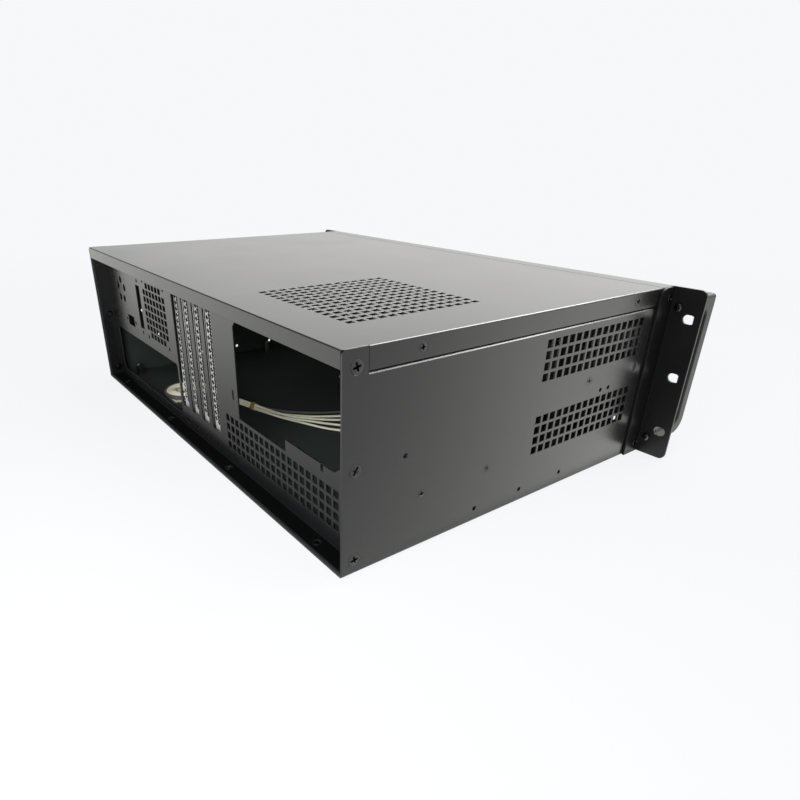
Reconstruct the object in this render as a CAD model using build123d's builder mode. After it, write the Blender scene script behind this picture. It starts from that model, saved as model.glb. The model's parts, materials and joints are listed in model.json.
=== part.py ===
from build123d import *
from math import cos, radians, sin, tan
import os

os.makedirs("parts", exist_ok=True)

# Driving dimensions, in millimetres. The front faces -Y, +X is right seen from the front, +Z is up.
rack_width = 482.6
rack_unit = 44.45
rack_units = 3
panel_clearance = 0.8
body_width = 432.0
face_depth = 300.0
sheet = 1.2
fit = 0.3
overrun = 5.0
fold_radius = 1.5
body_height = rack_units * rack_unit - panel_clearance

# Handles
handle_reach = 46.0
handle_span = 104.0
handle_width = 9.0
handle_bar = 12.0
handle_corner = 14.0
handle_inner_corner = 5.0
handle_bore_depth = 9.0
handle_edge = 3.0
handle_x = 223.5

# Rack ears
ear_sheet = 2.0
ear_screw_inset = 6.2
ear_screw_margin = 8.1
ear_flange_depth = 20.0
ear_corner = 5.0
ear_flange_corner = 8.0
rack_hole_x = 465.1 / 2
rack_hole_width = 9.0
rack_hole_height = 6.8

# Lid
lid_depth = 284.5
lip_height = 10.0
flap_start = 16.5
flap_end = 281.0
flap_height = 12.8
flap_end_gap = 2.5
top_vent_x = -123.8
top_vent_depth = 84.7
top_vent_pitch = 7.58
top_vent_hole = 4.8
top_vent_count = 14
flap_screw_depths = (51.8, 253.1)
flap_screw_drop = 6.6
lid_edge = 1.0

# Side wall vents and screws, as depth from the rear edge and height
side_vent_start = 160.3
side_vent_pitch = 7.43
side_vent_hole = 5.4
side_vent_columns = 15
side_vent_rows = 4
side_vent_tops = (110.9, 59.0)
rear_screw_depth = 9.1
rear_screw_middle = 66.2
rear_screw_spacing = 56.8
wall_hole_radius = 1.6
wall_hole_places = (
    (43.6, 65.5),
    (106.4, 9.6),
    (150.8, 9.6),
    (195.2, 9.6),
    (228.4, 66.3),
    (238.0, 66.3),
)

# Screws
screw_radius = 1.5
screw_head_radius = 2.9
screw_length = 5.0
large_screw_radius = 2.0
large_head_radius = 4.1
screw_gap = 0.1
pan_head_radius = 3.0
pan_head_height = 2.0

# Rear panel
rear_recess = 13.3
slot_pitch = 20.32
slot_count = 4
slot_first_edge = 39.9
slot_width = 13.6
slot_bottom = 20.5
slot_top = 122.8
pocket_width = 7.0
pocket_height = 2.4
pocket_level = 7.9
io_edge = 43.7
io_width = 158.75
io_height = 44.45
io_bottom = 11.0
io_corner = 3.0
fan_port_x = 82.6
fan_port_level = 89.9
fan_port_spacing = 50.0
fan_port_columns = 7
fan_port_rows = 8
fan_port_pitch_x = 7.75
fan_port_pitch_z = 6.3
fan_port_hole_x = 5.8
fan_port_hole_z = 4.6
port_screw_radius = 1.6
parallel_x = 123.0
parallel_level = 89.1
parallel_height = 39.0
parallel_width = 10.0
parallel_screw_spacing = 47.04
serial_x = 154.5
serial_level = 70.5
serial_width = 17.8
serial_height = 9.6
serial_screw_spacing = 24.99
aerial_radius = 3.2
aerial_x = 172.5
aerial_level = 97.2
aerial_circle = 9.5
aerial_count = 5
psu_left = -70.3
psu_right = -196.0
psu_bottom = 44.6
psu_top = 124.2
psu_chamfer = 12.7
psu_tab_start = -135.2
psu_tab_end = -189.8
psu_tab_height = 8.2
psu_tab_chamfer = 4.5
psu_notch_x = -177.2
psu_notch_width = 2.6
psu_notch_depth = 4.6
side_slot_x = -62.8
side_slot_level = 60.6
side_slot_width = 2.2
side_slot_height = 7.4
rear_vent_start = -50.5
rear_vent_top = 39.2
rear_vent_pitch = 7.43
rear_vent_hole = 5.2
rear_vent_columns = 21
rear_vent_rows = 4
floor_screw_depth = 7.0
floor_screw_xs = (-180.4, -58.6, 58.6, 180.4)

# Slot covers
cover_sheet = 0.8
cover_width = 18.4
cover_tongue_width = 10.2
cover_tip = 5.0
cover_shoulder = 3.0
cover_recess = 2.0
cover_flange = 11.4
cover_mesh_bottom = 24.0
cover_mesh_pitch = 5.0
cover_mesh_rows = 19
cover_diamond = 2.8
cover_diamond_offset = 2.1

# Power supply shelf
shelf_level = 41.8
shelf_width = 24.0
shelf_leg = 11.0
shelf_start = 50.0
shelf_length = 72.0
shelf_screw_depths = (58.0, 114.3)
shelf_screw_level = 36.7

# Drive cage
cage_sheet = 1.0
cage_start = 176.0
cage_right = -63.0
cage_top = 117.0
cage_foot = 12.0
cage_window_margin = 8.0
cage_screw_depths = (212.1, 268.3)
cage_screw_level = 76.1
cage_divider_level = 75.0
cage_divider_width = 12.0
cage_window_height = 28.0
cage_lower_window = 26.0
cage_upper_window = 20.0
cage_foot_screw_inset = 20.0

# Board standoffs
standoff_height = 12.0
standoff_radius = 3.0
standoff_bore = 1.25
board_edge_x = 205.0
board_edge_depth = 16.5
board_hole_columns = (6.35, 163.83, 209.55)
board_hole_rows = (10.16, 165.1, 237.49)

# Front panel
front_sheet = 1.6
front_flange = 13.5
bay_width = 147.0
bay_height = 41.6
bay_spacing = 1.4
bay_count = 2
bay_cover_wall = 1.6
bay_cover_depth = 12.0
bay_cover_proud = 1.5
bay_right = -64.9
bay_bottom = 30.5
bay_corner = 1.0
low_slot_width = 18.0
low_slot_height = 4.0
low_slot_pitch_x = 23.0
low_slot_pitch_z = 8.0
low_slot_columns = 6
low_slot_rows = 2
low_slot_level = 16.0
side_slot_columns = 5
side_slot_pitch = 9.0
front_slot_width = 4.5
front_slot_height = 96.0
front_slot_x = 186.0
front_screw_levels = (40.0, 92.0)
fan_x = 75.0
fan_size = 120.0
fan_depth = 25.0
fan_corner = 5.0
fan_bore_radius = 57.0
fan_hole_spacing = 105.0
fan_hole_radius = 2.2
fan_wall = 3.0
fan_hub_radius = 19.0
fan_hub_wall = 2.0
fan_motor_radius = 15.0
fan_motor_height = 16.0
fan_strut_width = 4.0
fan_plate_height = 3.0
fan_flange = 3.6
fan_blade_count = 7
fan_blade_chord = 26.0
fan_blade_camber = 3.0
fan_blade_thickness = 1.6
fan_blade_root_pitch = 50.0
fan_blade_tip_pitch = 28.0
fan_hub_depth = 19.0
fan_hub_edge = 2.0
fan_shaft_gap = 0.15
fan_tip_gap = 1.5
fan_shaft_radius = 1.5

# Filter door
door_width = 132.0
door_height = 124.0
door_depth = 7.0
door_wall = 1.2
door_gap = 0.6
door_corner = 3.0
door_slot_count = 11
door_slot_pitch = 9.6
door_slot_height = 5.6
door_slot_width = 108.0
foam_thickness = 3.2
hinge_radius = 2.4
hinge_pin_radius = 1.0
hinge_pin_gap = 0.15
hinge_knuckle = 10.0
hinge_offset = 4.6
hinge_inset = 14.0
hinge_leaf = 1.2
hinge_leaf_width = 12.0
hinge_web = 2.0
door_grip_width = 3.0
door_grip_height = 24.0

# Front controls
control_x = -32.0
power_level = 106.0
power_radius = 7.0
power_travel = 1.5
reset_level = 86.0
reset_radius = 2.6
button_stand = 1.2
button_flange = 1.4
button_flange_height = 1.2
button_gap = 0.3
light_levels = (74.0, 66.0)
light_radius = 1.6
light_stand = 0.6
usb_levels = (48.0, 34.0)
usb_width = 13.2
usb_height = 5.8
usb_wall = 0.4
usb_tongue = 1.8
control_board_width = 24.0
control_board_bottom = 20.0
control_board_top = 124.0
control_board_sheet = 1.6
control_board_back = 16.0
switch_block = 9.0
pillar_radius = 3.0

# Leads
lead_diameter = 2.0
arc_share = 0.45
header_width = 18.0
header_height = 6.0
header_reach = 7.9
header_level = 32.0
bundle_radius = 3.0
bundle_level = 4.5
bundle_length = 79.9
bundle_turn = 12.2
band_width = 5.0
band_wall = 0.8
band_level = 5.3
coil_x = 110.0
coil_y = 128.0
coil_radius = 17.0
coil_thickness = 10.0
coil_tail = 22.0
tails_width = 14.4
tails_height = 2.4
tails_end = 89.0
tails_middle = 143.9
plug_length = 14.0
plug_height = 2.6
plug_edge = 0.4
plug_widths = (5.2, 5.2, 2.6)
plug_places = (148.3, 142.5, 138.0)

# Places worked out from the sizes above
rear_y = (face_depth + handle_reach) / 2
front_y = rear_y - face_depth
half_body = body_width / 2
inner_x = half_body - sheet
lid_under = body_height - sheet
lid_front_y = rear_y - lid_depth
panel_y = rear_y - rear_recess
panel_back_y = panel_y - sheet
face_back_y = front_y + front_sheet
ear_back_y = front_y + ear_sheet
middle_z = body_height / 2

joggle = sheet + fit
strip_top = lid_under - fit
wall_bend_level = body_height - flap_height - fit - joggle
tray_length = rear_y - face_back_y
panel_flange_top = body_height - front_sheet


def across(y):
    """The upright plane at y that faces the front, with x to the right and z up."""
    return Plane.XZ.offset(-y)


def along(x):
    """The upright plane at x that faces +X, with y to the right and z up."""
    return Plane.YZ.offset(x)


def side_places(surface_x, places, sides=(-1, 1)):
    """Planes on the side walls, facing outwards, at places given as depth and height."""
    planes = []
    for side in sides:
        for depth, level in places:
            origin = (side * surface_x, rear_y - depth, level)
            planes.append(Plane(origin=origin, x_dir=(0, side, 0), z_dir=(side, 0, 0)))
    return planes


def keep(part, name):
    """Labels a finished piece and writes its file."""
    part.label = name
    export_step(part, f"parts/{name}.step")


def flat_screws(name, planes, head_radius=screw_head_radius, radius=screw_radius, length=screw_length):
    """Countersunk screws whose heads lie flush in the planes."""
    head = head_radius - radius
    with BuildPart() as one:
        with BuildSketch(Plane.XZ):
            with BuildLine():
                Polyline(
                    (0, 0), (head_radius, 0), (radius, -head),
                    (radius, -length), (0, -length), close=True,
                )
            make_face()
        revolve(axis=Axis.Z)
    with BuildPart() as screws:
        with Locations(*planes):
            add(one.part)
    keep(screws.part, name)


def pan_screws(name, planes, length=screw_length):
    """Pan-headed screws that stand on the planes."""
    with BuildPart() as one:
        with BuildSketch(Plane.XY):
            Circle(pan_head_radius)
        extrude(amount=pan_head_height, taper=20)
        with BuildSketch(Plane.XY):
            Circle(screw_radius)
        extrude(amount=-length)
    with BuildPart() as screws:
        with Locations(*planes):
            add(one.part)
    keep(screws.part, name)


def drill(planes, head_radius=screw_head_radius, radius=screw_radius):
    """Countersunk clearance holes through one sheet, in the part being built."""
    with Locations(*planes):
        CounterSinkHole(
            radius=head_radius + 2 * screw_gap - sheet,
            counter_sink_radius=head_radius + 2 * screw_gap,
            depth=sheet + radius,
            counter_sink_angle=90,
        )


rear_screw_places = []
for step in (-1, 0, 1):
    rear_screw_places.append((rear_screw_depth, rear_screw_middle + step * rear_screw_spacing))
flap_screw_places = [(depth, body_height - flap_screw_drop) for depth in flap_screw_depths]
ear_screw_places = [
    (face_depth - ear_screw_inset, ear_screw_margin),
    (face_depth - ear_screw_inset, body_height - ear_screw_margin),
]
shelf_screw_places = [(depth, shelf_screw_level) for depth in shelf_screw_depths]
cage_screw_places = [(depth, cage_screw_level) for depth in cage_screw_depths]
cage_end = face_depth - front_sheet - front_flange - fit
foot_screw_depths = (cage_start + cage_foot_screw_inset, cage_end - cage_foot_screw_inset)
floor_hole_places = [(x, rear_y - floor_screw_depth) for x in floor_screw_xs]
for depth in foot_screw_depths:
    floor_hole_places.append((cage_right + cage_foot / 2, rear_y - depth))

# Chassis tray: the floor and both side walls, folded from one sheet
with BuildPart() as chassis_tray:
    with BuildSketch(across(rear_y)):
        Rectangle(body_width, body_height, align=(Align.CENTER, Align.MIN))
        with Locations((0, sheet)):
            Rectangle(2 * inner_x, body_height, align=(Align.CENTER, Align.MIN), mode=Mode.SUBTRACT)
    extrude(amount=tray_length)
    fillet(chassis_tray.edges().filter_by(Axis.Y).group_by(Axis.Z)[0], radius=fold_radius)
    with BuildSketch(along(0)):
        with BuildLine():
            Polyline(
                (rear_y - flap_start + fit, wall_bend_level),
                (rear_y - flap_start + fit, body_height),
                (rear_y - flap_end - flap_end_gap - fit, body_height),
                (rear_y - flap_end - fit, body_height - flap_height - fit),
                (rear_y - flap_end - fit, wall_bend_level),
                close=True,
            )
        make_face()
        with Locations((face_back_y - overrun, panel_flange_top)):
            Rectangle(face_depth - flap_end + overrun, body_height, align=(Align.MIN, Align.MIN))
    extrude(amount=body_width, both=True, mode=Mode.SUBTRACT)
    with BuildSketch(across(rear_y - flap_start)):
        with BuildLine():
            Polyline(
                (half_body, wall_bend_level),
                (half_body - joggle, wall_bend_level + joggle),
                (half_body - joggle, strip_top),
                (inner_x - joggle, strip_top),
                (inner_x - joggle, wall_bend_level + joggle),
                (inner_x, wall_bend_level),
                close=True,
            )
        make_face()
        mirror(about=Plane.YZ)
    extrude(amount=flap_end - flap_start)
    fillet(
        chassis_tray.edges().filter_by(Axis.X).group_by(Axis.Y)[-1].group_by(Axis.Z)[-1],
        radius=fold_radius * 2,
    )
    with BuildSketch(along(0)):
        for level in side_vent_tops:
            depth = side_vent_start + side_vent_pitch * (side_vent_columns - 1) / 2
            middle = level - side_vent_pitch * (side_vent_rows - 1) / 2
            with Locations((rear_y - depth, middle)):
                with GridLocations(side_vent_pitch, side_vent_pitch, side_vent_columns, side_vent_rows):
                    Rectangle(side_vent_hole, side_vent_hole)
        for depth, level in wall_hole_places:
            with Locations((rear_y - depth, level)):
                Circle(wall_hole_radius)
        for depth, level in flap_screw_places + ear_screw_places:
            with Locations((rear_y - depth, level)):
                Circle(screw_radius + fit)
    extrude(amount=body_width, both=True, mode=Mode.SUBTRACT)
    with BuildSketch(Plane.XY):
        with Locations(*floor_hole_places):
            Circle(screw_radius + fit)
    extrude(amount=sheet, mode=Mode.SUBTRACT)
    drill(side_places(half_body, rear_screw_places), large_head_radius, large_screw_radius)
    drill(side_places(half_body, shelf_screw_places + cage_screw_places))
keep(chassis_tray.part, "chassis_tray")

# Rear panel: a plate set in from the rear edge, with flanges that fold back to it
psu_outline = [
    (psu_left, psu_bottom),
    (psu_left, psu_top - psu_chamfer),
    (psu_left - psu_chamfer, psu_top),
    (psu_right, psu_top),
    (psu_right, psu_bottom + psu_tab_height + psu_tab_chamfer),
    (psu_tab_end, psu_bottom + psu_tab_height),
    (psu_tab_start, psu_bottom + psu_tab_height),
    (psu_tab_start, psu_bottom),
]
slot_xs = [slot_first_edge - slot_width / 2 - slot_pitch * number for number in range(slot_count)]
slot_middle_x = sum(slot_xs) / slot_count
ledge_width = slot_pitch * slot_count
ledge_level = slot_top + sheet
flange_depth = rear_recess - sheet - fit
panel_top = lid_under - fit
tab_level = ledge_level + sheet
cover_y = panel_back_y - cover_recess
cover_screw_y = cover_y - cover_sheet + cover_flange / 2
cover_screw_planes = [Plane(origin=(x, cover_screw_y, tab_level + cover_sheet)) for x in slot_xs]
floor_screw_planes = []
for x in floor_screw_xs:
    floor_screw_planes.append(Plane(origin=(x, rear_y - floor_screw_depth, 2 * sheet)))

with BuildPart() as rear_panel:
    with BuildSketch(across(panel_y)):
        with Locations((0, sheet)):
            Rectangle(2 * inner_x, panel_top - sheet, align=(Align.CENTER, Align.MIN))
        with Locations((slot_middle_x, ledge_level + sheet)):
            Rectangle(ledge_width, body_height, align=(Align.CENTER, Align.MIN), mode=Mode.SUBTRACT)
        with BuildLine():
            Polyline(*psu_outline, close=True)
        make_face(mode=Mode.SUBTRACT)
        with Locations((psu_notch_x, psu_bottom + psu_tab_height)):
            Rectangle(
                psu_notch_width, psu_notch_depth,
                align=(Align.CENTER, Align.MAX), mode=Mode.SUBTRACT,
            )
        for x in slot_xs:
            with Locations((x, (slot_bottom + slot_top) / 2)):
                Rectangle(slot_width, slot_top - slot_bottom, mode=Mode.SUBTRACT)
            with Locations((x, pocket_level)):
                Rectangle(pocket_width, pocket_height, mode=Mode.SUBTRACT)
        with Locations((io_edge + io_width / 2, io_bottom + io_height / 2)):
            RectangleRounded(io_width, io_height, io_corner, mode=Mode.SUBTRACT)
        with Locations((fan_port_x, fan_port_level)):
            with GridLocations(fan_port_pitch_x, fan_port_pitch_z, fan_port_columns - 2, fan_port_rows):
                Rectangle(fan_port_hole_x, fan_port_hole_z, mode=Mode.SUBTRACT)
            side_spacing = fan_port_pitch_x * (fan_port_columns - 1)
            with GridLocations(side_spacing, fan_port_pitch_z, 2, fan_port_rows - 2):
                Rectangle(fan_port_hole_x, fan_port_hole_z, mode=Mode.SUBTRACT)
            with GridLocations(fan_port_spacing, fan_port_spacing, 2, 2):
                Circle(port_screw_radius, mode=Mode.SUBTRACT)
        with Locations((parallel_x, parallel_level)):
            Rectangle(parallel_width, parallel_height, mode=Mode.SUBTRACT)
            with GridLocations(parallel_screw_spacing, parallel_screw_spacing, 1, 2):
                Circle(port_screw_radius, mode=Mode.SUBTRACT)
        with Locations((serial_x, serial_level)):
            Rectangle(serial_width, serial_height, mode=Mode.SUBTRACT)
            with GridLocations(serial_screw_spacing, serial_screw_spacing, 2, 1):
                Circle(port_screw_radius, mode=Mode.SUBTRACT)
        with Locations((aerial_x, aerial_level)):
            with PolarLocations(aerial_circle, aerial_count, start_angle=90):
                Circle(aerial_radius, mode=Mode.SUBTRACT)
        with Locations((side_slot_x, side_slot_level)):
            Rectangle(side_slot_width, side_slot_height, mode=Mode.SUBTRACT)
        vent_middle_x = rear_vent_start - rear_vent_pitch * (rear_vent_columns - 1) / 2
        vent_middle_z = rear_vent_top - rear_vent_pitch * (rear_vent_rows - 1) / 2
        with Locations((vent_middle_x, vent_middle_z)):
            with GridLocations(rear_vent_pitch, rear_vent_pitch, rear_vent_columns, rear_vent_rows):
                Rectangle(rear_vent_hole, rear_vent_hole, mode=Mode.SUBTRACT)
    extrude(amount=sheet)
    with BuildSketch(across(panel_y)):
        with GridLocations(2 * inner_x - sheet, sheet, 2, 1):
            with Locations((0, (panel_top + sheet) / 2)):
                Rectangle(sheet, panel_top - sheet)
        with Locations((0, sheet)):
            Rectangle(2 * inner_x, sheet, align=(Align.CENTER, Align.MIN))
        with Locations((slot_middle_x, ledge_level)):
            Rectangle(ledge_width, sheet, align=(Align.CENTER, Align.MIN))
    extrude(amount=-flange_depth)
    with Locations(*side_places(inner_x, rear_screw_places)):
        Hole(radius=large_head_radius - sheet + 2 * screw_gap, depth=2 * sheet)
    with Locations(*cover_screw_planes):
        Hole(radius=screw_radius + fit, depth=cover_sheet + sheet)
    drill(floor_screw_planes)
keep(rear_panel.part, "rear_panel")
flat_screws(
    "rear_panel_screws",
    side_places(half_body, rear_screw_places),
    large_head_radius,
    large_screw_radius,
)
flat_screws("floor_screws", floor_screw_planes, length=2 * sheet - screw_gap)

# Lid: the top sheet, with a lip down at the rear and a flap down each side
lid_plate_width = 2 * (inner_x - fit)
with BuildPart() as lid:
    with BuildSketch(Plane.XY.offset(lid_under)):
        with Locations((0, lid_front_y)):
            Rectangle(body_width, lid_depth - flap_start, align=(Align.CENTER, Align.MIN))
            Rectangle(lid_plate_width, lid_depth, align=(Align.CENTER, Align.MIN))
        with Locations((top_vent_x, rear_y - top_vent_depth)):
            with GridLocations(top_vent_pitch, top_vent_pitch, top_vent_count, top_vent_count):
                Rectangle(top_vent_hole, top_vent_hole, mode=Mode.SUBTRACT)
    extrude(amount=sheet)
    with BuildSketch(across(rear_y)):
        with Locations((0, body_height)):
            Rectangle(lid_plate_width, lip_height, align=(Align.CENTER, Align.MAX))
    extrude(amount=sheet)
    for side in (-1, 1):
        with BuildSketch(along(side * inner_x)):
            with BuildLine():
                Polyline(
                    (rear_y - flap_start, body_height),
                    (rear_y - flap_start, body_height - flap_height),
                    (rear_y - flap_end, body_height - flap_height),
                    (rear_y - flap_end - flap_end_gap, body_height),
                    close=True,
                )
            make_face()
        extrude(amount=side * sheet)
    top_edges = lid.edges().filter_by(Axis.Y).group_by(Axis.Z)[-1].sort_by(Axis.X)
    fillet([top_edges[0], top_edges[-1]], radius=lid_edge)
    drill(side_places(half_body, flap_screw_places))
keep(lid.part, "lid")
flat_screws("lid_screws", side_places(half_body, flap_screw_places))

# Rack ears: an angle at each side, its flange on the wall and its plate in the front plane
handle_levels = (middle_z - handle_span / 2, middle_z + handle_span / 2)
ear_reach = rack_width / 2 - half_body
ear_surface = half_body + ear_sheet


def is_outer_corner(corner):
    """True for a corner on the ear's outer edge."""
    return abs(corner.X) > rack_hole_x


for side, word in ((-1, "left"), (1, "right")):
    with BuildPart() as rack_ear:
        with BuildSketch(across(ear_back_y)) as ear_face:
            with Locations((side * (half_body + ear_reach / 2), middle_z)):
                Rectangle(ear_reach, body_height)
            fillet(ear_face.vertices().filter_by(is_outer_corner), radius=ear_corner)
            with Locations((side * rack_hole_x, middle_z)):
                with GridLocations(rack_unit, rack_unit, 1, rack_units):
                    SlotOverall(rack_hole_width, rack_hole_height, mode=Mode.SUBTRACT)
            for level in handle_levels:
                with Locations((side * handle_x, level)):
                    Circle(screw_radius + fit, mode=Mode.SUBTRACT)
        extrude(amount=ear_sheet)
        with BuildSketch(along(side * half_body)) as ear_flange:
            with Locations((front_y, 0)):
                Rectangle(ear_flange_depth, body_height, align=(Align.MIN, Align.MIN))
            fillet(ear_flange.vertices().group_by(Axis.Y)[-1], radius=ear_flange_corner)
        extrude(amount=side * ear_sheet)
        drill(side_places(ear_surface, ear_screw_places, [side]))
    keep(rack_ear.part, f"rack_ear_{word}")

    with BuildPart() as handle:
        with BuildSketch(along(side * handle_x)) as handle_face:
            with Locations((front_y, middle_z)):
                Rectangle(handle_reach, handle_span + handle_bar, align=(Align.MAX, Align.CENTER))
            fillet(handle_face.vertices().group_by(Axis.Y)[0], radius=handle_corner)
            with Locations((front_y, middle_z)):
                RectangleRounded(
                    2 * (handle_reach - handle_bar), handle_span - handle_bar,
                    handle_inner_corner, mode=Mode.SUBTRACT,
                )
        extrude(amount=handle_width / 2, both=True)
        long_edges = handle.edges().filter_by_position(
            Axis.Y, front_y - 2 * handle_reach, front_y, inclusive=(True, False)
        )
        fillet(long_edges, radius=handle_edge)
        with BuildSketch(across(front_y)):
            for level in handle_levels:
                with Locations((side * handle_x, level)):
                    Circle(screw_radius + fit)
        extrude(amount=handle_bore_depth, mode=Mode.SUBTRACT)
    keep(handle.part, f"handle_{word}")

handle_screw_planes = []
for side in (-1, 1):
    for level in handle_levels:
        origin = (side * handle_x, ear_back_y, level)
        handle_screw_planes.append(Plane(origin=origin, x_dir=(-1, 0, 0), z_dir=(0, 1, 0)))
flat_screws("ear_screws", side_places(ear_surface, ear_screw_places))
pan_screws("handle_screws", handle_screw_planes, ear_sheet + handle_bore_depth - fit)

# Slot covers: bent brackets with a tongue below, a tab on the panel's ledge above and lozenge holes
shoulder_level = slot_bottom - cover_shoulder
mesh_middle = cover_mesh_bottom + cover_mesh_pitch * cover_mesh_rows / 2
for number, x in enumerate(slot_xs, start=1):
    with BuildPart() as slot_cover:
        with BuildSketch(across(cover_y)):
            with BuildLine():
                Polyline(
                    (x - cover_width / 2, tab_level),
                    (x - cover_width / 2, shoulder_level),
                    (x - cover_tongue_width / 2, shoulder_level - cover_shoulder),
                    (x - cover_tongue_width / 2, cover_tip),
                    (x + cover_tongue_width / 2, cover_tip),
                    (x + cover_tongue_width / 2, shoulder_level - cover_shoulder),
                    (x + cover_width / 2, shoulder_level),
                    (x + cover_width / 2, tab_level),
                    close=True,
                )
            make_face()
            for shift in (-1, 1):
                place = (x + shift * cover_diamond_offset, mesh_middle + shift * cover_mesh_pitch / 4)
                with Locations(place):
                    with GridLocations(cover_mesh_pitch, cover_mesh_pitch, 1, cover_mesh_rows):
                        Rectangle(cover_diamond, cover_diamond, rotation=45, mode=Mode.SUBTRACT)
        extrude(amount=cover_sheet)
        with BuildSketch(Plane.XY.offset(tab_level)):
            with Locations((x, cover_y - cover_sheet)):
                Rectangle(cover_width, cover_flange, align=(Align.CENTER, Align.MIN))
            with Locations((x, cover_screw_y)):
                Circle(screw_radius + fit, mode=Mode.SUBTRACT)
        extrude(amount=cover_sheet)
    keep(slot_cover.part, f"slot_cover_{number}")
pan_screws("slot_cover_screws", cover_screw_planes, cover_sheet + sheet)

# Power-supply shelf: an angle on the left wall
with BuildPart() as power_supply_shelf:
    with BuildSketch(across(rear_y - shelf_start)):
        with Locations((-inner_x, shelf_level)):
            Rectangle(shelf_width, sheet, align=(Align.MIN, Align.MAX))
            Rectangle(sheet, shelf_leg, align=(Align.MIN, Align.MAX))
    extrude(amount=shelf_length)
    with BuildSketch(along(-inner_x)):
        for depth, level in shelf_screw_places:
            with Locations((rear_y - depth, level)):
                Circle(screw_radius + fit)
    extrude(amount=sheet, mode=Mode.SUBTRACT)
keep(power_supply_shelf.part, "power_supply_shelf")
flat_screws("shelf_screws", side_places(half_body, shelf_screw_places, [-1]))

# Drive cage: a folded tunnel behind the two bays, with runners for the upper drive
cage_length = cage_end - cage_start
cage_middle_x = (cage_right - inner_x) / 2
cage_width = cage_right + inner_x
foot_screw_planes = []
for depth in foot_screw_depths:
    origin = (cage_right + cage_foot / 2, rear_y - depth, sheet + cage_sheet)
    foot_screw_planes.append(Plane(origin=origin))
with BuildPart() as drive_cage:
    with BuildSketch(across(rear_y - cage_start)):
        with Locations((cage_middle_x, sheet)):
            Rectangle(cage_width, cage_top - sheet, align=(Align.CENTER, Align.MIN))
            Rectangle(
                cage_width - 2 * cage_sheet, cage_top - sheet - cage_sheet,
                align=(Align.CENTER, Align.MIN), mode=Mode.SUBTRACT,
            )
        with Locations((cage_right - cage_sheet, sheet)):
            Rectangle(cage_foot + cage_sheet, cage_sheet, align=(Align.MIN, Align.MIN))
        with Locations((cage_middle_x, cage_divider_level)):
            Rectangle(cage_width - cage_sheet, cage_sheet)
            Rectangle(cage_width - 2 * cage_divider_width, 2 * cage_sheet, mode=Mode.SUBTRACT)
    extrude(amount=cage_length)
    with BuildSketch(Plane.XY.offset(cage_top)):
        with Locations((cage_middle_x, rear_y - cage_start - cage_length / 2)):
            RectangleRounded(
                cage_width - 4 * cage_window_margin, cage_length - 4 * cage_window_margin,
                cage_window_margin,
            )
    extrude(amount=-2 * cage_sheet, mode=Mode.SUBTRACT)
    with BuildSketch(along(cage_middle_x)):
        for level in (cage_divider_level - cage_lower_window, cage_divider_level + cage_upper_window):
            with Locations((rear_y - cage_start - cage_length / 2, level)):
                RectangleRounded(cage_length - 4 * cage_window_margin, cage_window_height, cage_window_margin)
        for depth, level in cage_screw_places:
            with Locations((rear_y - depth, level)):
                Circle(screw_radius + fit)
    extrude(amount=cage_width, both=True, mode=Mode.SUBTRACT)
    with Locations(*foot_screw_planes):
        Hole(radius=screw_radius + fit, depth=2 * cage_sheet)
keep(drive_cage.part, "drive_cage")
flat_screws("cage_screws", side_places(half_body, cage_screw_places, [-1]))
pan_screws("cage_foot_screws", foot_screw_planes, cage_sheet + sheet - screw_gap)

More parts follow.
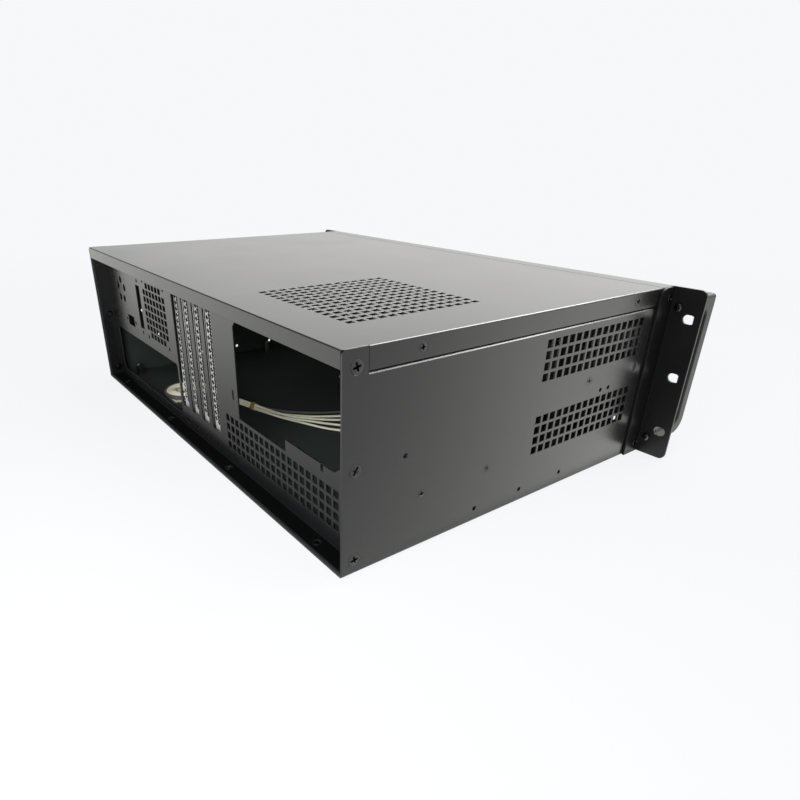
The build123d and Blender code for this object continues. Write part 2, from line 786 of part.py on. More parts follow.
# Front panel: a pan whose flanges fold back inside the tray and under the lid's front edge
bay_x = bay_right - bay_width / 2
bay_pitch = bay_height + bay_spacing
bay_levels = [bay_bottom + bay_height / 2 + bay_pitch * number for number in range(bay_count)]
board_face_y = face_back_y + control_board_back
usb_depth = front_sheet + control_board_back
front_screw_places = [(face_depth - ear_screw_inset, level) for level in front_screw_levels]
fan_plane = Plane(origin=(fan_x, face_back_y, middle_z), x_dir=(1, 0, 0), z_dir=(0, 1, 0))
pillar_levels = (control_board_bottom + pillar_radius, control_board_top - pillar_radius)
with BuildPart() as front_panel:
    with BuildSketch(across(face_back_y)):
        with Locations((0, middle_z)):
            Rectangle(body_width, body_height)
        for level in bay_levels:
            with Locations((bay_x, level)):
                RectangleRounded(bay_width, bay_height, bay_corner, mode=Mode.SUBTRACT)
        with Locations((bay_x, low_slot_level)):
            with GridLocations(low_slot_pitch_x, low_slot_pitch_z, low_slot_columns, low_slot_rows):
                Rectangle(low_slot_width, low_slot_height, mode=Mode.SUBTRACT)
        with Locations((front_slot_x, middle_z)):
            with GridLocations(side_slot_pitch, side_slot_pitch, side_slot_columns, 1):
                Rectangle(front_slot_width, front_slot_height, mode=Mode.SUBTRACT)
        with Locations((fan_x, middle_z)):
            Circle(fan_bore_radius, mode=Mode.SUBTRACT)
            with GridLocations(fan_hole_spacing, fan_hole_spacing, 2, 2):
                Circle(fan_hole_radius, mode=Mode.SUBTRACT)
        with Locations((control_x, power_level)):
            Circle(power_radius + button_gap, mode=Mode.SUBTRACT)
        with Locations((control_x, reset_level)):
            Circle(reset_radius + button_gap, mode=Mode.SUBTRACT)
        for level in light_levels:
            with Locations((control_x, level)):
                Circle(light_radius + screw_gap, mode=Mode.SUBTRACT)
        for level in usb_levels:
            with Locations((control_x, level)):
                Rectangle(usb_width + 2 * fit, usb_height + 2 * fit, mode=Mode.SUBTRACT)
    extrude(amount=front_sheet)
    with BuildSketch(across(face_back_y)):
        with Locations((0, body_height)):
            Rectangle(body_width, front_sheet, align=(Align.CENTER, Align.MAX))
        with Locations((0, sheet)):
            Rectangle(2 * inner_x, front_sheet, align=(Align.CENTER, Align.MIN))
        with Locations((0, (sheet + body_height) / 2)):
            with GridLocations(2 * inner_x - front_sheet, front_sheet, 2, 1):
                Rectangle(front_sheet, body_height - sheet - 2 * front_sheet)
    extrude(amount=-front_flange)
    with BuildSketch(across(face_back_y)):
        for level in pillar_levels:
            with Locations((control_x, level)):
                Circle(pillar_radius)
    extrude(amount=-control_board_back)
    with Locations(*side_places(inner_x, ear_screw_places + front_screw_places)):
        Hole(radius=screw_radius + fit, depth=2 * front_sheet)
keep(front_panel.part, "front_panel")

# Bay covers: shallow moulded caps that fill the two bays
for number, level in enumerate(bay_levels, start=1):
    with BuildPart() as bay_cover:
        with BuildSketch(across(front_y + bay_cover_depth)):
            with Locations((bay_x, level)):
                RectangleRounded(bay_width - 2 * fit, bay_height - 2 * fit, bay_corner)
        extrude(amount=bay_cover_depth + bay_cover_proud)
        fillet(bay_cover.faces().sort_by(Axis.Y)[0].edges(), radius=bay_corner)
        back_face = bay_cover.faces().sort_by(Axis.Y)[-1]
        offset(amount=-bay_cover_wall, openings=back_face)
    keep(bay_cover.part, f"bay_cover_{number}")

# Fan: a square frame with a round duct, a motor mount on struts, and a rotor of curved blades
mount_level = fan_depth - fan_plate_height
with BuildPart() as frame_shape:
    with BuildSketch(Plane.XY, Plane.XY.offset(fan_depth - fan_flange)):
        RectangleRounded(fan_size, fan_size, fan_corner)
        Circle(fan_bore_radius, mode=Mode.SUBTRACT)
        with GridLocations(fan_hole_spacing, fan_hole_spacing, 2, 2):
            Circle(fan_hole_radius, mode=Mode.SUBTRACT)
    extrude(amount=fan_flange)
    with BuildSketch(Plane.XY):
        Circle(fan_size / 2)
        Circle(fan_bore_radius, mode=Mode.SUBTRACT)
    extrude(amount=fan_depth)
    with BuildSketch(Plane.XY.offset(mount_level)):
        Circle(fan_hub_radius)
        with PolarLocations((fan_hub_radius + fan_bore_radius) / 2, 4, start_angle=45):
            Rectangle(fan_bore_radius - fan_hub_radius + fan_wall, fan_strut_width)
    extrude(amount=fan_plate_height)
    with BuildSketch(Plane.XY.offset(mount_level)):
        Circle(fan_motor_radius)
    extrude(amount=-fan_motor_height)
    with BuildSketch(Plane.XY.offset(mount_level - fan_motor_height)):
        Circle(fan_shaft_radius + fan_shaft_gap)
    extrude(amount=fan_motor_height, mode=Mode.SUBTRACT)
with BuildPart() as fan_frame:
    with Locations(fan_plane):
        add(frame_shape.part)
keep(fan_frame.part, "fan_frame")

blade_reach = fan_bore_radius - fan_tip_gap
hub_back = mount_level - fit
hub_front = hub_back - fan_hub_depth
with BuildPart() as blade:
    for radius, pitch in ((fan_motor_radius, fan_blade_root_pitch), (fan_size / 2, fan_blade_tip_pitch)):
        section = Plane(origin=(radius, 0, (hub_back + hub_front) / 2), x_dir=(0, 1, 0), z_dir=(1, 0, 0))
        with BuildSketch(section.rotated((0, 0, -pitch))):
            with BuildLine():
                ThreePointArc(
                    (-fan_blade_chord / 2, 0), (0, fan_blade_camber), (fan_blade_chord / 2, 0)
                )
                ThreePointArc(
                    (fan_blade_chord / 2, 0), (0, fan_blade_camber + fan_blade_thickness),
                    (-fan_blade_chord / 2, 0),
                )
            make_face()
    loft()
    with BuildSketch(Plane.XY):
        Circle(blade_reach)
    extrude(amount=fan_depth, mode=Mode.INTERSECT)
with BuildPart() as rotor_shape:
    with PolarLocations(0, fan_blade_count):
        add(blade.part)
    with BuildSketch(Plane.XY.offset(hub_front)):
        Circle(fan_hub_radius)
    extrude(amount=fan_hub_depth)
    fillet(rotor_shape.edges().filter_by(GeomType.CIRCLE).group_by(Axis.Z)[0], radius=fan_hub_edge)
    with BuildSketch(Plane.XY.offset(hub_back)):
        Circle(fan_hub_radius - fan_hub_wall)
    extrude(amount=-(fan_hub_depth - fan_hub_wall), mode=Mode.SUBTRACT)
    with BuildSketch(Plane.XY.offset(hub_front + fan_hub_wall)):
        Circle(fan_shaft_radius)
    extrude(amount=fan_motor_height)
with BuildPart() as fan_rotor:
    with Locations(fan_plane):
        add(rotor_shape.part)
keep(fan_rotor.part, "fan_rotor")

fan_screw_planes = []
for step_x in (-1, 1):
    for step_z in (-1, 1):
        origin = (fan_x + step_x * fan_hole_spacing / 2, front_y, middle_z + step_z * fan_hole_spacing / 2)
        fan_screw_planes.append(Plane(origin=origin, x_dir=(1, 0, 0), z_dir=(0, -1, 0)))
pan_screws("fan_screws", fan_screw_planes, front_sheet + fan_flange)

# Filter door: a slotted shell with two hinge knuckles, and its foam
door_back_y = front_y - door_gap
hinge_x = fan_x + door_width / 2 + hinge_offset
hinge_y = front_y - hinge_radius - fit
hinge_shift = door_height / 2 - hinge_inset
with BuildPart() as filter_door:
    with BuildSketch(across(door_back_y)):
        with Locations((fan_x, middle_z)):
            RectangleRounded(door_width, door_height, door_corner)
    extrude(amount=door_depth)
    chamfer(filter_door.faces().sort_by(Axis.Y)[0].edges(), length=door_wall)
    door_back = filter_door.faces().sort_by(Axis.Y)[-1]
    offset(amount=-door_wall, openings=door_back)
    with BuildSketch(across(door_back_y)):
        with Locations((fan_x, middle_z)):
            with GridLocations(door_slot_pitch, door_slot_pitch, 1, door_slot_count):
                Rectangle(door_slot_width, door_slot_height)
        with Locations((fan_x - door_width / 2, middle_z)):
            SlotOverall(door_grip_height, 2 * door_grip_width, rotation=90)
    extrude(amount=door_depth, mode=Mode.SUBTRACT)
    for shift in (-hinge_shift, hinge_shift):
        with BuildSketch(Plane.XY.offset(middle_z + shift + hinge_pin_gap)):
            with Locations((hinge_x, hinge_y)):
                Circle(hinge_radius)
                Rectangle(hinge_offset + door_wall / 2, hinge_web, align=(Align.MAX, Align.CENTER))
                Circle(hinge_pin_radius + hinge_pin_gap, mode=Mode.SUBTRACT)
        extrude(amount=hinge_knuckle)
keep(filter_door.part, "filter_door")

with BuildPart() as door_hinge:
    for shift in (-hinge_shift, hinge_shift):
        with BuildSketch(Plane.XY.offset(middle_z + shift - hinge_pin_gap)):
            with Locations((hinge_x, hinge_y)):
                Circle(hinge_radius)
            with Locations((hinge_x, front_y)):
                Rectangle(hinge_leaf_width, hinge_leaf, align=(Align.MIN, Align.MAX))
            with Locations((hinge_x, hinge_y)):
                Circle(hinge_pin_radius + hinge_pin_gap, mode=Mode.SUBTRACT)
        extrude(amount=-hinge_knuckle)
keep(door_hinge.part, "door_hinge")

with BuildPart() as hinge_pins:
    for shift in (-hinge_shift, hinge_shift):
        with BuildSketch(Plane.XY.offset(middle_z + shift)):
            with Locations((hinge_x, hinge_y)):
                Circle(hinge_pin_radius)
        extrude(amount=hinge_knuckle, both=True)
keep(hinge_pins.part, "hinge_pins")

with BuildPart() as foam_filter:
    with BuildSketch(across(front_y - door_gap - door_depth + door_wall + fit + foam_thickness)):
        with Locations((fan_x, middle_z)):
            foam_margin = 2 * (door_wall + door_grip_width + fit)
            Rectangle(door_width - foam_margin, door_height - foam_margin)
    extrude(amount=foam_thickness)
keep(foam_filter.part, "foam_filter")

# Front controls: buttons, light lenses and sockets on a small upright board
def push_button(name, level, radius):
    """A round button with a collar behind the panel and a stem towards its switch."""
    stem_y = board_face_y - switch_block - power_travel - fit
    with BuildPart() as button:
        with BuildSketch(across(front_y - button_stand)):
            with Locations((control_x, level)):
                Circle(radius)
        extrude(amount=-(button_stand + front_sheet + button_flange_height))
        with BuildSketch(across(face_back_y + fit)):
            with Locations((control_x, level)):
                Circle(radius + button_flange)
        extrude(amount=-button_flange_height)
        with BuildSketch(across(stem_y)):
            with Locations((control_x, level)):
                Circle(reset_radius)
        extrude(until=Until.NEXT)
    keep(button.part, name)


push_button("power_button", power_level, power_radius)
push_button("reset_button", reset_level, reset_radius)

with BuildPart() as control_board:
    with BuildSketch(across(board_face_y)):
        with Locations((control_x, (control_board_bottom + control_board_top) / 2)):
            Rectangle(control_board_width, control_board_top - control_board_bottom)
        for level in pillar_levels:
            with Locations((control_x, level)):
                Circle(screw_radius + fit, mode=Mode.SUBTRACT)
    extrude(amount=-control_board_sheet)
    with BuildSketch(across(board_face_y)):
        for level in (power_level, reset_level):
            with Locations((control_x, level)):
                Rectangle(switch_block, switch_block)
    extrude(amount=switch_block)
keep(control_board.part, "control_board")
control_screw_planes = []
for level in pillar_levels:
    origin = (control_x, board_face_y + control_board_sheet, level)
    control_screw_planes.append(Plane(origin=origin, x_dir=(-1, 0, 0), z_dir=(0, 1, 0)))
pan_screws("control_board_screws", control_screw_planes, control_board_sheet)

for number, level in enumerate(usb_levels, start=1):
    with BuildPart() as usb_socket:
        with BuildSketch(across(board_face_y)):
            with Locations((control_x, level)):
                Rectangle(usb_width, usb_height)
                Rectangle(usb_width - 2 * usb_wall, usb_height - 2 * usb_wall, mode=Mode.SUBTRACT)
                Rectangle(usb_width - 2 * usb_wall, usb_tongue)
        extrude(amount=usb_depth)
    keep(usb_socket.part, f"usb_socket_{number}")

for number, level in enumerate(light_levels, start=1):
    with BuildPart() as light_lens:
        with BuildSketch(across(board_face_y)):
            with Locations((control_x, level)):
                Circle(light_radius)
        extrude(amount=control_board_back + front_sheet + light_stand)
        fillet(light_lens.edges().sort_by(Axis.Y)[0], radius=light_stand)
    keep(light_lens.part, f"light_lens_{number}")

# Board standoffs: hexagonal posts on the floor at the usual places of a square board
standoff_places = []
for column in board_hole_columns:
    for row in board_hole_rows:
        standoff_places.append((board_edge_x - column, rear_y - board_edge_depth - row))
with BuildPart() as board_standoffs:
    with BuildSketch(Plane.XY.offset(sheet)):
        with Locations(*standoff_places):
            RegularPolygon(standoff_radius, 6)
            Circle(standoff_bore, mode=Mode.SUBTRACT)
    extrude(amount=standoff_height)
keep(board_standoffs.part, "board_standoffs")

# Leads: five loose wires from the control board, banded together and coiled near the rear
bundle_axis = Vector(cos(radians(bundle_turn)), sin(radians(bundle_turn)), 0)
bundle_end = Vector(
    coil_x + coil_radius * sin(radians(bundle_turn)),
    coil_y - coil_radius * cos(radians(bundle_turn)),
    bundle_level,
)
band_place = bundle_end - bundle_axis * bundle_length
band_place.Z = band_level
header_y = board_face_y + control_board_sheet
with BuildPart() as lead_header:
    with BuildSketch(across(header_y + header_reach)):
        with Locations((control_x, header_level)):
            Rectangle(header_width, header_height)
    extrude(amount=header_reach)
    chamfer(lead_header.faces().sort_by(Axis.Y)[-1].edges(), length=plug_edge)
keep(lead_header.part, "lead_header")

# Each route runs from the header, down to the floor and through the band to the coil
lead_routes = {
    "lead_1": [
        (-38, -99.8, 32), (-38.1, -89, 31), (-38.4, -78.5, 18), (-39, -64, 5.5), (-40.3, -46, 2.5),
        (-43.8, -22, 2.5), (-47, 3, 2.5), (-62, 23, 2.5), (-62, 44, 2.5), (-46, 61.5, 2.5),
        (-20, 73.4, 2.5), (7.5, 87.4, 3.2), (28.3, 94.8, 5.9), (42, 97.7, 5.9), (61.4, 102.3, 5.7),
        (78.7, 105.3, 5.8), (91.6, 108.1, 5.8),
    ],
    "lead_2": [
        (-35, -99.8, 32), (-35.2, -89, 31), (-35.1, -78, 17.5), (-36, -63, 5), (-37.2, -46, 2.5),
        (-39.6, -30, 2.5), (-41, -10, 2.5), (-43.6, 6, 2.5), (-51, 24, 2.5), (-50, 42, 2.5),
        (-36.5, 54, 2.5), (-18, 67.5, 2.5), (6.5, 84.6, 2.5), (28.4, 94.1, 3.8), (42.1, 97.1, 3.8),
        (61.5, 102.1, 3.5), (78.6, 105.5, 3.6), (91.5, 108.3, 3.6),
    ],
    "lead_3": [
        (-32, -99.8, 32), (-31.9, -89, 31), (-32.3, -78.5, 18), (-32.8, -64, 5.5), (-34.2, -47, 2.5),
        (-36.2, -29, 2.5), (-37.8, -6, 2.5), (-42.5, 16, 2.5), (-34.5, 40, 2.5), (-16, 62.5, 2.5),
        (6.6, 81.6, 3.6), (28.7, 93, 7.2), (42.3, 96, 7.2), (61.9, 100.2, 6.5), (79.2, 103.1, 6.2),
        (92.1, 106, 6.2),
    ],
    "lead_4": [
        (-29, -99.8, 32), (-29.1, -89, 31), (-28.8, -78, 17.5), (-29.8, -63, 5), (-31.4, -47, 2.5),
        (-32.6, -30, 2.5), (-33.6, -10, 2.5), (-35, 12, 2.5), (-26.5, 34.5, 2.5), (-12.5, 57.5, 2.5),
        (8.6, 79.2, 2.5), (28.9, 91.9, 3.8), (42.6, 94.9, 3.8), (61.9, 100, 2.9), (79.1, 103.5, 2.6),
        (92, 106.3, 2.6),
    ],
    "lead_5": [
        (-26, -99.8, 32), (-26.1, -89, 31), (-26.2, -78.5, 18), (-26.4, -64, 5.5), (-27.4, -48, 2.5),
        (-29.4, -32, 2.5), (-29.2, -12, 2.5), (-25, 8, 2.5), (-17.4, 29, 2.5), (-6, 52.5, 2.7),
        (12.4, 77.6, 4), (29, 91.3, 5.9), (42.7, 94.2, 5.9), (62.2, 98.8, 4.8), (79.4, 102.1, 4.3),
        (92.3, 104.9, 4.3),
    ],
}
for name, route in lead_routes.items():
    points = [Vector(*point) for point in route]
    runs = [after - before for before, after in zip(points, points[1:])]
    radii = []
    for before, after in zip(runs, runs[1:]):
        half_turn = radians(before.get_angle(after)) / 2
        radii.append(arc_share * min(before.length, after.length) / tan(half_turn))
    with BuildPart() as lead:
        with BuildLine():
            path = FilletPolyline(*points, radius=radii)
        with BuildSketch(Plane(origin=path @ 0, z_dir=path % 0)):
            Circle(lead_diameter / 2)
        sweep(path=path)
    print(name, "length", round(path.length), "radii", [round(radius) for radius in radii])
    keep(lead.part, name)

with BuildPart() as lead_band:
    with BuildSketch(Plane(origin=band_place, z_dir=bundle_axis)):
        Circle(bundle_radius + band_wall)
        Circle(bundle_radius, mode=Mode.SUBTRACT)
    extrude(amount=band_width / 2, both=True)
keep(lead_band.part, "lead_band")

# The coil's outer shape, with the bundle that enters it and the row of ends that leaves it
coil_level = sheet + fit + coil_thickness / 2
with BuildPart() as lead_coil:
    with BuildSketch(across(coil_y)):
        with Locations((coil_x + coil_radius, coil_level)):
            Circle(coil_thickness / 2)
    revolve(axis=Axis((coil_x, coil_y, 0), (0, 0, 1)))
    with BuildSketch(Plane(origin=bundle_end, z_dir=bundle_axis)):
        Circle(bundle_radius)
    extrude(amount=-coil_tail)
    with BuildSketch(along(tails_end)):
        with Locations((tails_middle, sheet + fit)):
            Rectangle(tails_width, tails_height, align=(Align.CENTER, Align.MIN))
    extrude(amount=coil_x - tails_end)
keep(lead_coil.part, "lead_coil")

for number, (width, place) in enumerate(zip(plug_widths, plug_places), start=1):
    with BuildPart() as plug:
        with BuildSketch(along(tails_end)):
            with Locations((place, sheet + fit)):
                Rectangle(width, plug_height, align=(Align.CENTER, Align.MIN))
        extrude(amount=-plug_length)
        chamfer(plug.edges().filter_by(Axis.X), length=plug_edge)
    keep(plug.part, f"plug_{number}")
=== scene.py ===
# Empty rackmount server case, seen from behind and to the left
import json
import math

import bmesh
import bpy
from mathutils import Matrix, Vector

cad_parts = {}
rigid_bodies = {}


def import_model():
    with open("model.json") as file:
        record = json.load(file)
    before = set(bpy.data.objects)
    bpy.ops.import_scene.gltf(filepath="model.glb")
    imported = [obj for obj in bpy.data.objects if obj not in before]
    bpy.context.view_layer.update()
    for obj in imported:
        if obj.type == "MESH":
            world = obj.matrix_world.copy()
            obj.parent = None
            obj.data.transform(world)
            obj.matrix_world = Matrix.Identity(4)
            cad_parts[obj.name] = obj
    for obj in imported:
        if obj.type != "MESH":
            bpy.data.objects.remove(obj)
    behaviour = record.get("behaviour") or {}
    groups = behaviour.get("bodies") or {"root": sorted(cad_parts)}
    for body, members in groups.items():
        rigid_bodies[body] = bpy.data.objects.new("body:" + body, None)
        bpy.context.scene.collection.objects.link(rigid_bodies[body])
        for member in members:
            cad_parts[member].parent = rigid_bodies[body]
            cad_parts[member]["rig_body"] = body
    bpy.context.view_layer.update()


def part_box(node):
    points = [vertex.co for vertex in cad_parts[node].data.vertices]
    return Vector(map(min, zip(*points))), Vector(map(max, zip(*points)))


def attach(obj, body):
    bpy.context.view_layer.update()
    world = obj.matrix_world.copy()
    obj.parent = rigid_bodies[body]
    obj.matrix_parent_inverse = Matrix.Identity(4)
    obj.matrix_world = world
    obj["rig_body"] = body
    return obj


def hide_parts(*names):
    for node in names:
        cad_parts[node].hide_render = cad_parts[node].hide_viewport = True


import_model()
nodes = {obj.name: obj for obj in bpy.context.scene.objects if obj.type == "MESH"}
rootBody = "case"
bodyOf = {obj.name: obj["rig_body"] for obj in nodes.values()}

# camera, matched to the photograph
view = {
    "place": (-0.4369, 0.3304, 0.2120),
    "turn": 2.2037,
    "tilt": -0.4622,
    "roll": -0.0116,
    "focalPixels": 596.74,
    "centreX": 352.07,
    "centreY": 457.77,
    "imageSize": 800,
    "sensorWidth": 36.0,
    "clipStart": 0.01,
}


def makeCamera():
    data = bpy.data.cameras.new("viewCamera")
    size = view["imageSize"]
    data.sensor_width = view["sensorWidth"]
    data.lens = view["focalPixels"] / size * data.sensor_width
    data.shift_x = (size / 2 - view["centreX"]) / size
    data.shift_y = (view["centreY"] - size / 2) / size
    data.clip_start = view["clipStart"]
    data.dof.use_dof = False
    camera = bpy.data.objects.new("viewCamera", data)
    camera.location = view["place"]
    camera.rotation_euler = (math.pi / 2 + view["tilt"], view["roll"], -view["turn"])
    bpy.context.scene.collection.objects.link(camera)
    bpy.context.scene.camera = camera


makeCamera()
print("camera set")


# small helpers for objects
def linkNew(name, data):
    thing = bpy.data.objects.new(name, data)
    bpy.context.scene.collection.objects.link(thing)
    return thing


def selectOnly(piece):
    bpy.ops.object.select_all(action="DESELECT")
    piece.select_set(True)
    bpy.context.view_layer.objects.active = piece


def bevelEdges(piece, width, segments, **settings):
    rounding = piece.modifiers.new("rounding", "BEVEL")
    rounding.width = width
    rounding.segments = segments
    for key, value in settings.items():
        setattr(rounding, key, value)
    bpy.ops.object.modifier_apply(modifier="rounding")


# takes a closed shape away from the piece
def cutOut(piece, corners, faces):
    mesh = bpy.data.meshes.new("cutter")
    mesh.from_pydata(corners, [], faces)
    cutter = linkNew("cutter", mesh)
    selectOnly(cutter)
    bpy.ops.object.mode_set(mode="EDIT")
    bpy.ops.mesh.select_all(action="SELECT")
    bpy.ops.mesh.normals_make_consistent(inside=False)
    bpy.ops.object.mode_set(mode="OBJECT")
    selectOnly(piece)
    opening = piece.modifiers.new("opening", "BOOLEAN")
    opening.operation = "DIFFERENCE"
    opening.object = cutter
    bpy.ops.object.modifier_apply(modifier="opening")
    bpy.data.objects.remove(cutter)


# a box between two corners, to be shaped further
def startBlock(name, low, high):
    bpy.ops.object.select_all(action="DESELECT")
    bpy.ops.mesh.primitive_cube_add(size=1)
    block = bpy.context.object
    block.name = name
    block.data.transform(Matrix.Translation((low + high) / 2) @ Matrix.Diagonal((*(high - low), 1)))
    return block


# a round wire whose smooth line is guided by the given places
def makeWire(name, places, radius, steps, roundness, finish):
    curve = bpy.data.curves.new(name, "CURVE")
    curve.dimensions = "3D"
    spline = curve.splines.new("NURBS")
    spline.points.add(len(places) - 1)
    for point, place in zip(spline.points, places):
        point.co = (*place, 1)
    spline.order_u = 3
    spline.use_endpoint_u = True
    curve.resolution_u = steps
    curve.bevel_depth = radius
    curve.bevel_resolution = roundness
    curve.use_fill_caps = True
    curve.materials.append(materials[finish])
    wire = linkNew(name, curve)
    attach(wire, rootBody)
    return wire


# small helpers for node trees
def newMaterial(name):
    material = bpy.data.materials.new(name)
    material.use_nodes = True
    tree = material.node_tree
    shader = tree.nodes["Principled BSDF"]
    return material, tree, shader


def addNode(tree, kind, **settings):
    node = tree.nodes.new(kind)
    for key, value in settings.items():
        setattr(node, key, value)
    return node


def addGroup(tree, group, **values):
    node = tree.nodes.new("ShaderNodeGroup")
    node.node_tree = group
    for key, value in values.items():
        node.inputs[key].default_value = value
    return node


def newGroup(name, inputs, outputs):
    group = bpy.data.node_groups.new(name, "ShaderNodeTree")
    for label, kind, value in inputs:
        socket = group.interface.new_socket(name=label, in_out="INPUT", socket_type=kind)
        socket.default_value = value
    for label, kind in outputs:
        group.interface.new_socket(name=label, in_out="OUTPUT", socket_type=kind)
    return group, group.nodes.new("NodeGroupInput"), group.nodes.new("NodeGroupOutput")


# surface effect shared by all finishes: broad patches in tone and gloss over a fine grain
peel = {
    "patchScale": 14,
    "patchDetail": 3,
    "grainDetail": 2,
    "bumpHeight": 0.00012,
    "darkestTone": 0.85,
    "lightestTone": 1.15,
}


def makePeelGroup():
    group, given, result = newGroup(
        "peelTexture",
        [("Colour", "NodeSocketColor", (0.02, 0.02, 0.02, 1)), ("Roughness", "NodeSocketFloat", 0.3),
         ("Variation", "NodeSocketFloat", 0.04), ("Grain", "NodeSocketFloat", 900.0),
         ("Relief", "NodeSocketFloat", 0.1)],
        [("Colour", "NodeSocketColor"), ("Roughness", "NodeSocketFloat"), ("Normal", "NodeSocketVector")],
    )
    place = addNode(group, "ShaderNodeTexCoord")
    patches = addNode(group, "ShaderNodeTexNoise")
    patches.inputs["Scale"].default_value = peel["patchScale"]
    patches.inputs["Detail"].default_value = peel["patchDetail"]
    grain = addNode(group, "ShaderNodeTexNoise")
    grain.inputs["Detail"].default_value = peel["grainDetail"]
    bump = addNode(group, "ShaderNodeBump")
    bump.inputs["Distance"].default_value = peel["bumpHeight"]
    centred = addNode(group, "ShaderNodeMath", operation="SUBTRACT")  # noise lies around a half
    centred.inputs[1].default_value = 0.5
    scaled = addNode(group, "ShaderNodeMath", operation="MULTIPLY")
    rough = addNode(group, "ShaderNodeMath", operation="ADD", use_clamp=True)
    tone = addNode(group, "ShaderNodeMapRange")
    tone.inputs["To Min"].default_value = peel["darkestTone"]
    tone.inputs["To Max"].default_value = peel["lightestTone"]
    tinted = addNode(group, "ShaderNodeVectorMath", operation="SCALE")
    link = group.links.new
    link(place.outputs["Object"], patches.inputs["Vector"])
    link(place.outputs["Object"], grain.inputs["Vector"])
    link(given.outputs["Grain"], grain.inputs["Scale"])
    link(grain.outputs["Fac"], bump.inputs["Height"])
    link(given.outputs["Relief"], bump.inputs["Strength"])
    link(patches.outputs["Fac"], centred.inputs[0])
    link(centred.outputs[0], scaled.inputs[0])
    link(given.outputs["Variation"], scaled.inputs[1])
    link(scaled.outputs[0], rough.inputs[0])
    link(given.outputs["Roughness"], rough.inputs[1])
    link(patches.outputs["Fac"], tone.inputs["Value"])
    link(given.outputs["Colour"], tinted.inputs[0])
    link(tone.outputs["Result"], tinted.inputs["Scale"])
    link(tinted.outputs["Vector"], result.inputs["Colour"])
    link(rough.outputs[0], result.inputs["Roughness"])
    link(bump.outputs["Normal"], result.inputs["Normal"])
    return group


peelGroup = makePeelGroup()

finishes = {
    "caseBlack": {"colour": (0.007, 0.0072, 0.0078), "roughness": 0.26, "variation": 0.05,
                  "grain": 1100, "relief": 0.12},
    # painted shade: the inside black is darker and nearly without gloss, standing for the shade inside the
    # case; the inside floor has a greenish grey tone of its own, set lighter and with little gloss as
    # painted light and shade
    "paintedShadeBlack": {"colour": (0.002, 0.0021, 0.0022), "roughness": 0.6, "variation": 0.08,
                    "grain": 900, "relief": 0.12, "sheen": 0.04},
    "insideFloorToneAndShade": {"colour": (0.03, 0.037, 0.0345), "roughness": 0.6, "variation": 0.08,
                    "grain": 900, "relief": 0.12, "sheen": 0.04},
    "coverNickel": {"colour": (0.86, 0.86, 0.83), "roughness": 0.36, "variation": 0.14,
                    "grain": 700, "relief": 0.1, "metal": 0.5},
    # painted shade for the walls of the lattice's holes
    "coverHoleShade": {"colour": (0.09, 0.09, 0.088), "roughness": 0.5, "variation": 0.1,
                  "grain": 700, "relief": 0.1, "metal": 1},
    "earBlack": {"colour": (0.0045, 0.0046, 0.005), "roughness": 0.36, "variation": 0.05,
                 "grain": 1100, "relief": 0.12, "sheen": 0.2},
    "handleBlack": {"colour": (0.0045, 0.0045, 0.005), "roughness": 0.4, "variation": 0.1,
                    "grain": 500, "relief": 0.15, "sheen": 0.2},
    "screwBlack": {"colour": (0.068, 0.068, 0.07), "roughness": 0.22, "variation": 0.12,
                   "grain": 1500, "relief": 0.1, "metal": 1},
    "screwZinc": {"colour": (0.62, 0.62, 0.62), "roughness": 0.3, "variation": 0.12,
                  "grain": 1500, "relief": 0.1, "metal": 1},
    "postNickel": {"colour": (0.6, 0.58, 0.52), "roughness": 0.26, "variation": 0.1,
                   "grain": 900, "relief": 0.08, "metal": 1},
    "mouldedBlack": {"colour": (0.025, 0.025, 0.027), "roughness": 0.48, "variation": 0.06,
                     "grain": 1800, "relief": 0.3},
    "fanBlack": {"colour": (0.02, 0.02, 0.022), "roughness": 0.38, "variation": 0.05,
                 "grain": 1200, "relief": 0.12},
    "foamGrey": {"colour": (0.03, 0.03, 0.032), "roughness": 0.95, "variation": 0.05,
                 "grain": 420, "relief": 1.0},
    "boardGreen": {"colour": (0.02, 0.11, 0.05), "roughness": 0.35, "variation": 0.1,
                   "grain": 600, "relief": 0.15},
    "socketSteel": {"colour": (0.66, 0.66, 0.66), "roughness": 0.28, "variation": 0.1,
                    "grain": 900, "relief": 0.08, "metal": 1},
    "lensClear": {"colour": (0.75, 0.78, 0.74), "roughness": 0.12, "variation": 0.05,
                  "grain": 800, "relief": 0.05},
    "leadCream": {"colour": (0.78, 0.76, 0.6), "roughness": 0.42, "variation": 0.08,
                  "grain": 1600, "relief": 0.12},
    "leadGrey": {"colour": (0.09, 0.088, 0.085), "roughness": 0.38, "variation": 0.08,
                 "grain": 1600, "relief": 0.12},
    "bandOchre": {"colour": (0.36, 0.25, 0.05), "roughness": 0.6, "variation": 0.1,
                  "grain": 1500, "relief": 0.3},
    "contactTin": {"colour": (0.78, 0.77, 0.74), "roughness": 0.22, "variation": 0.1,
                   "grain": 900, "relief": 0.05, "metal": 1},
    "plugBlack": {"colour": (0.03, 0.03, 0.031), "roughness": 0.4, "variation": 0.05,
                  "grain": 1400, "relief": 0.15},
}


def makeFinish(name):
    values = finishes[name]
    material, tree, shader = newMaterial(name)
    surface = addGroup(
        tree, peelGroup, Colour=(*values["colour"], 1), Roughness=values["roughness"],
        Variation=values["variation"], Grain=values["grain"], Relief=values["relief"],
    )
    tree.links.new(surface.outputs["Colour"], shader.inputs["Base Color"])
    tree.links.new(surface.outputs["Roughness"], shader.inputs["Roughness"])
    tree.links.new(surface.outputs["Normal"], shader.inputs["Normal"])
    shader.inputs["Metallic"].default_value = values.get("metal", 0)
    shader.inputs["Specular IOR Level"].default_value = values.get("sheen", 0.5)
    return material


materials = {name: makeFinish(name) for name in finishes}
print("materials made")


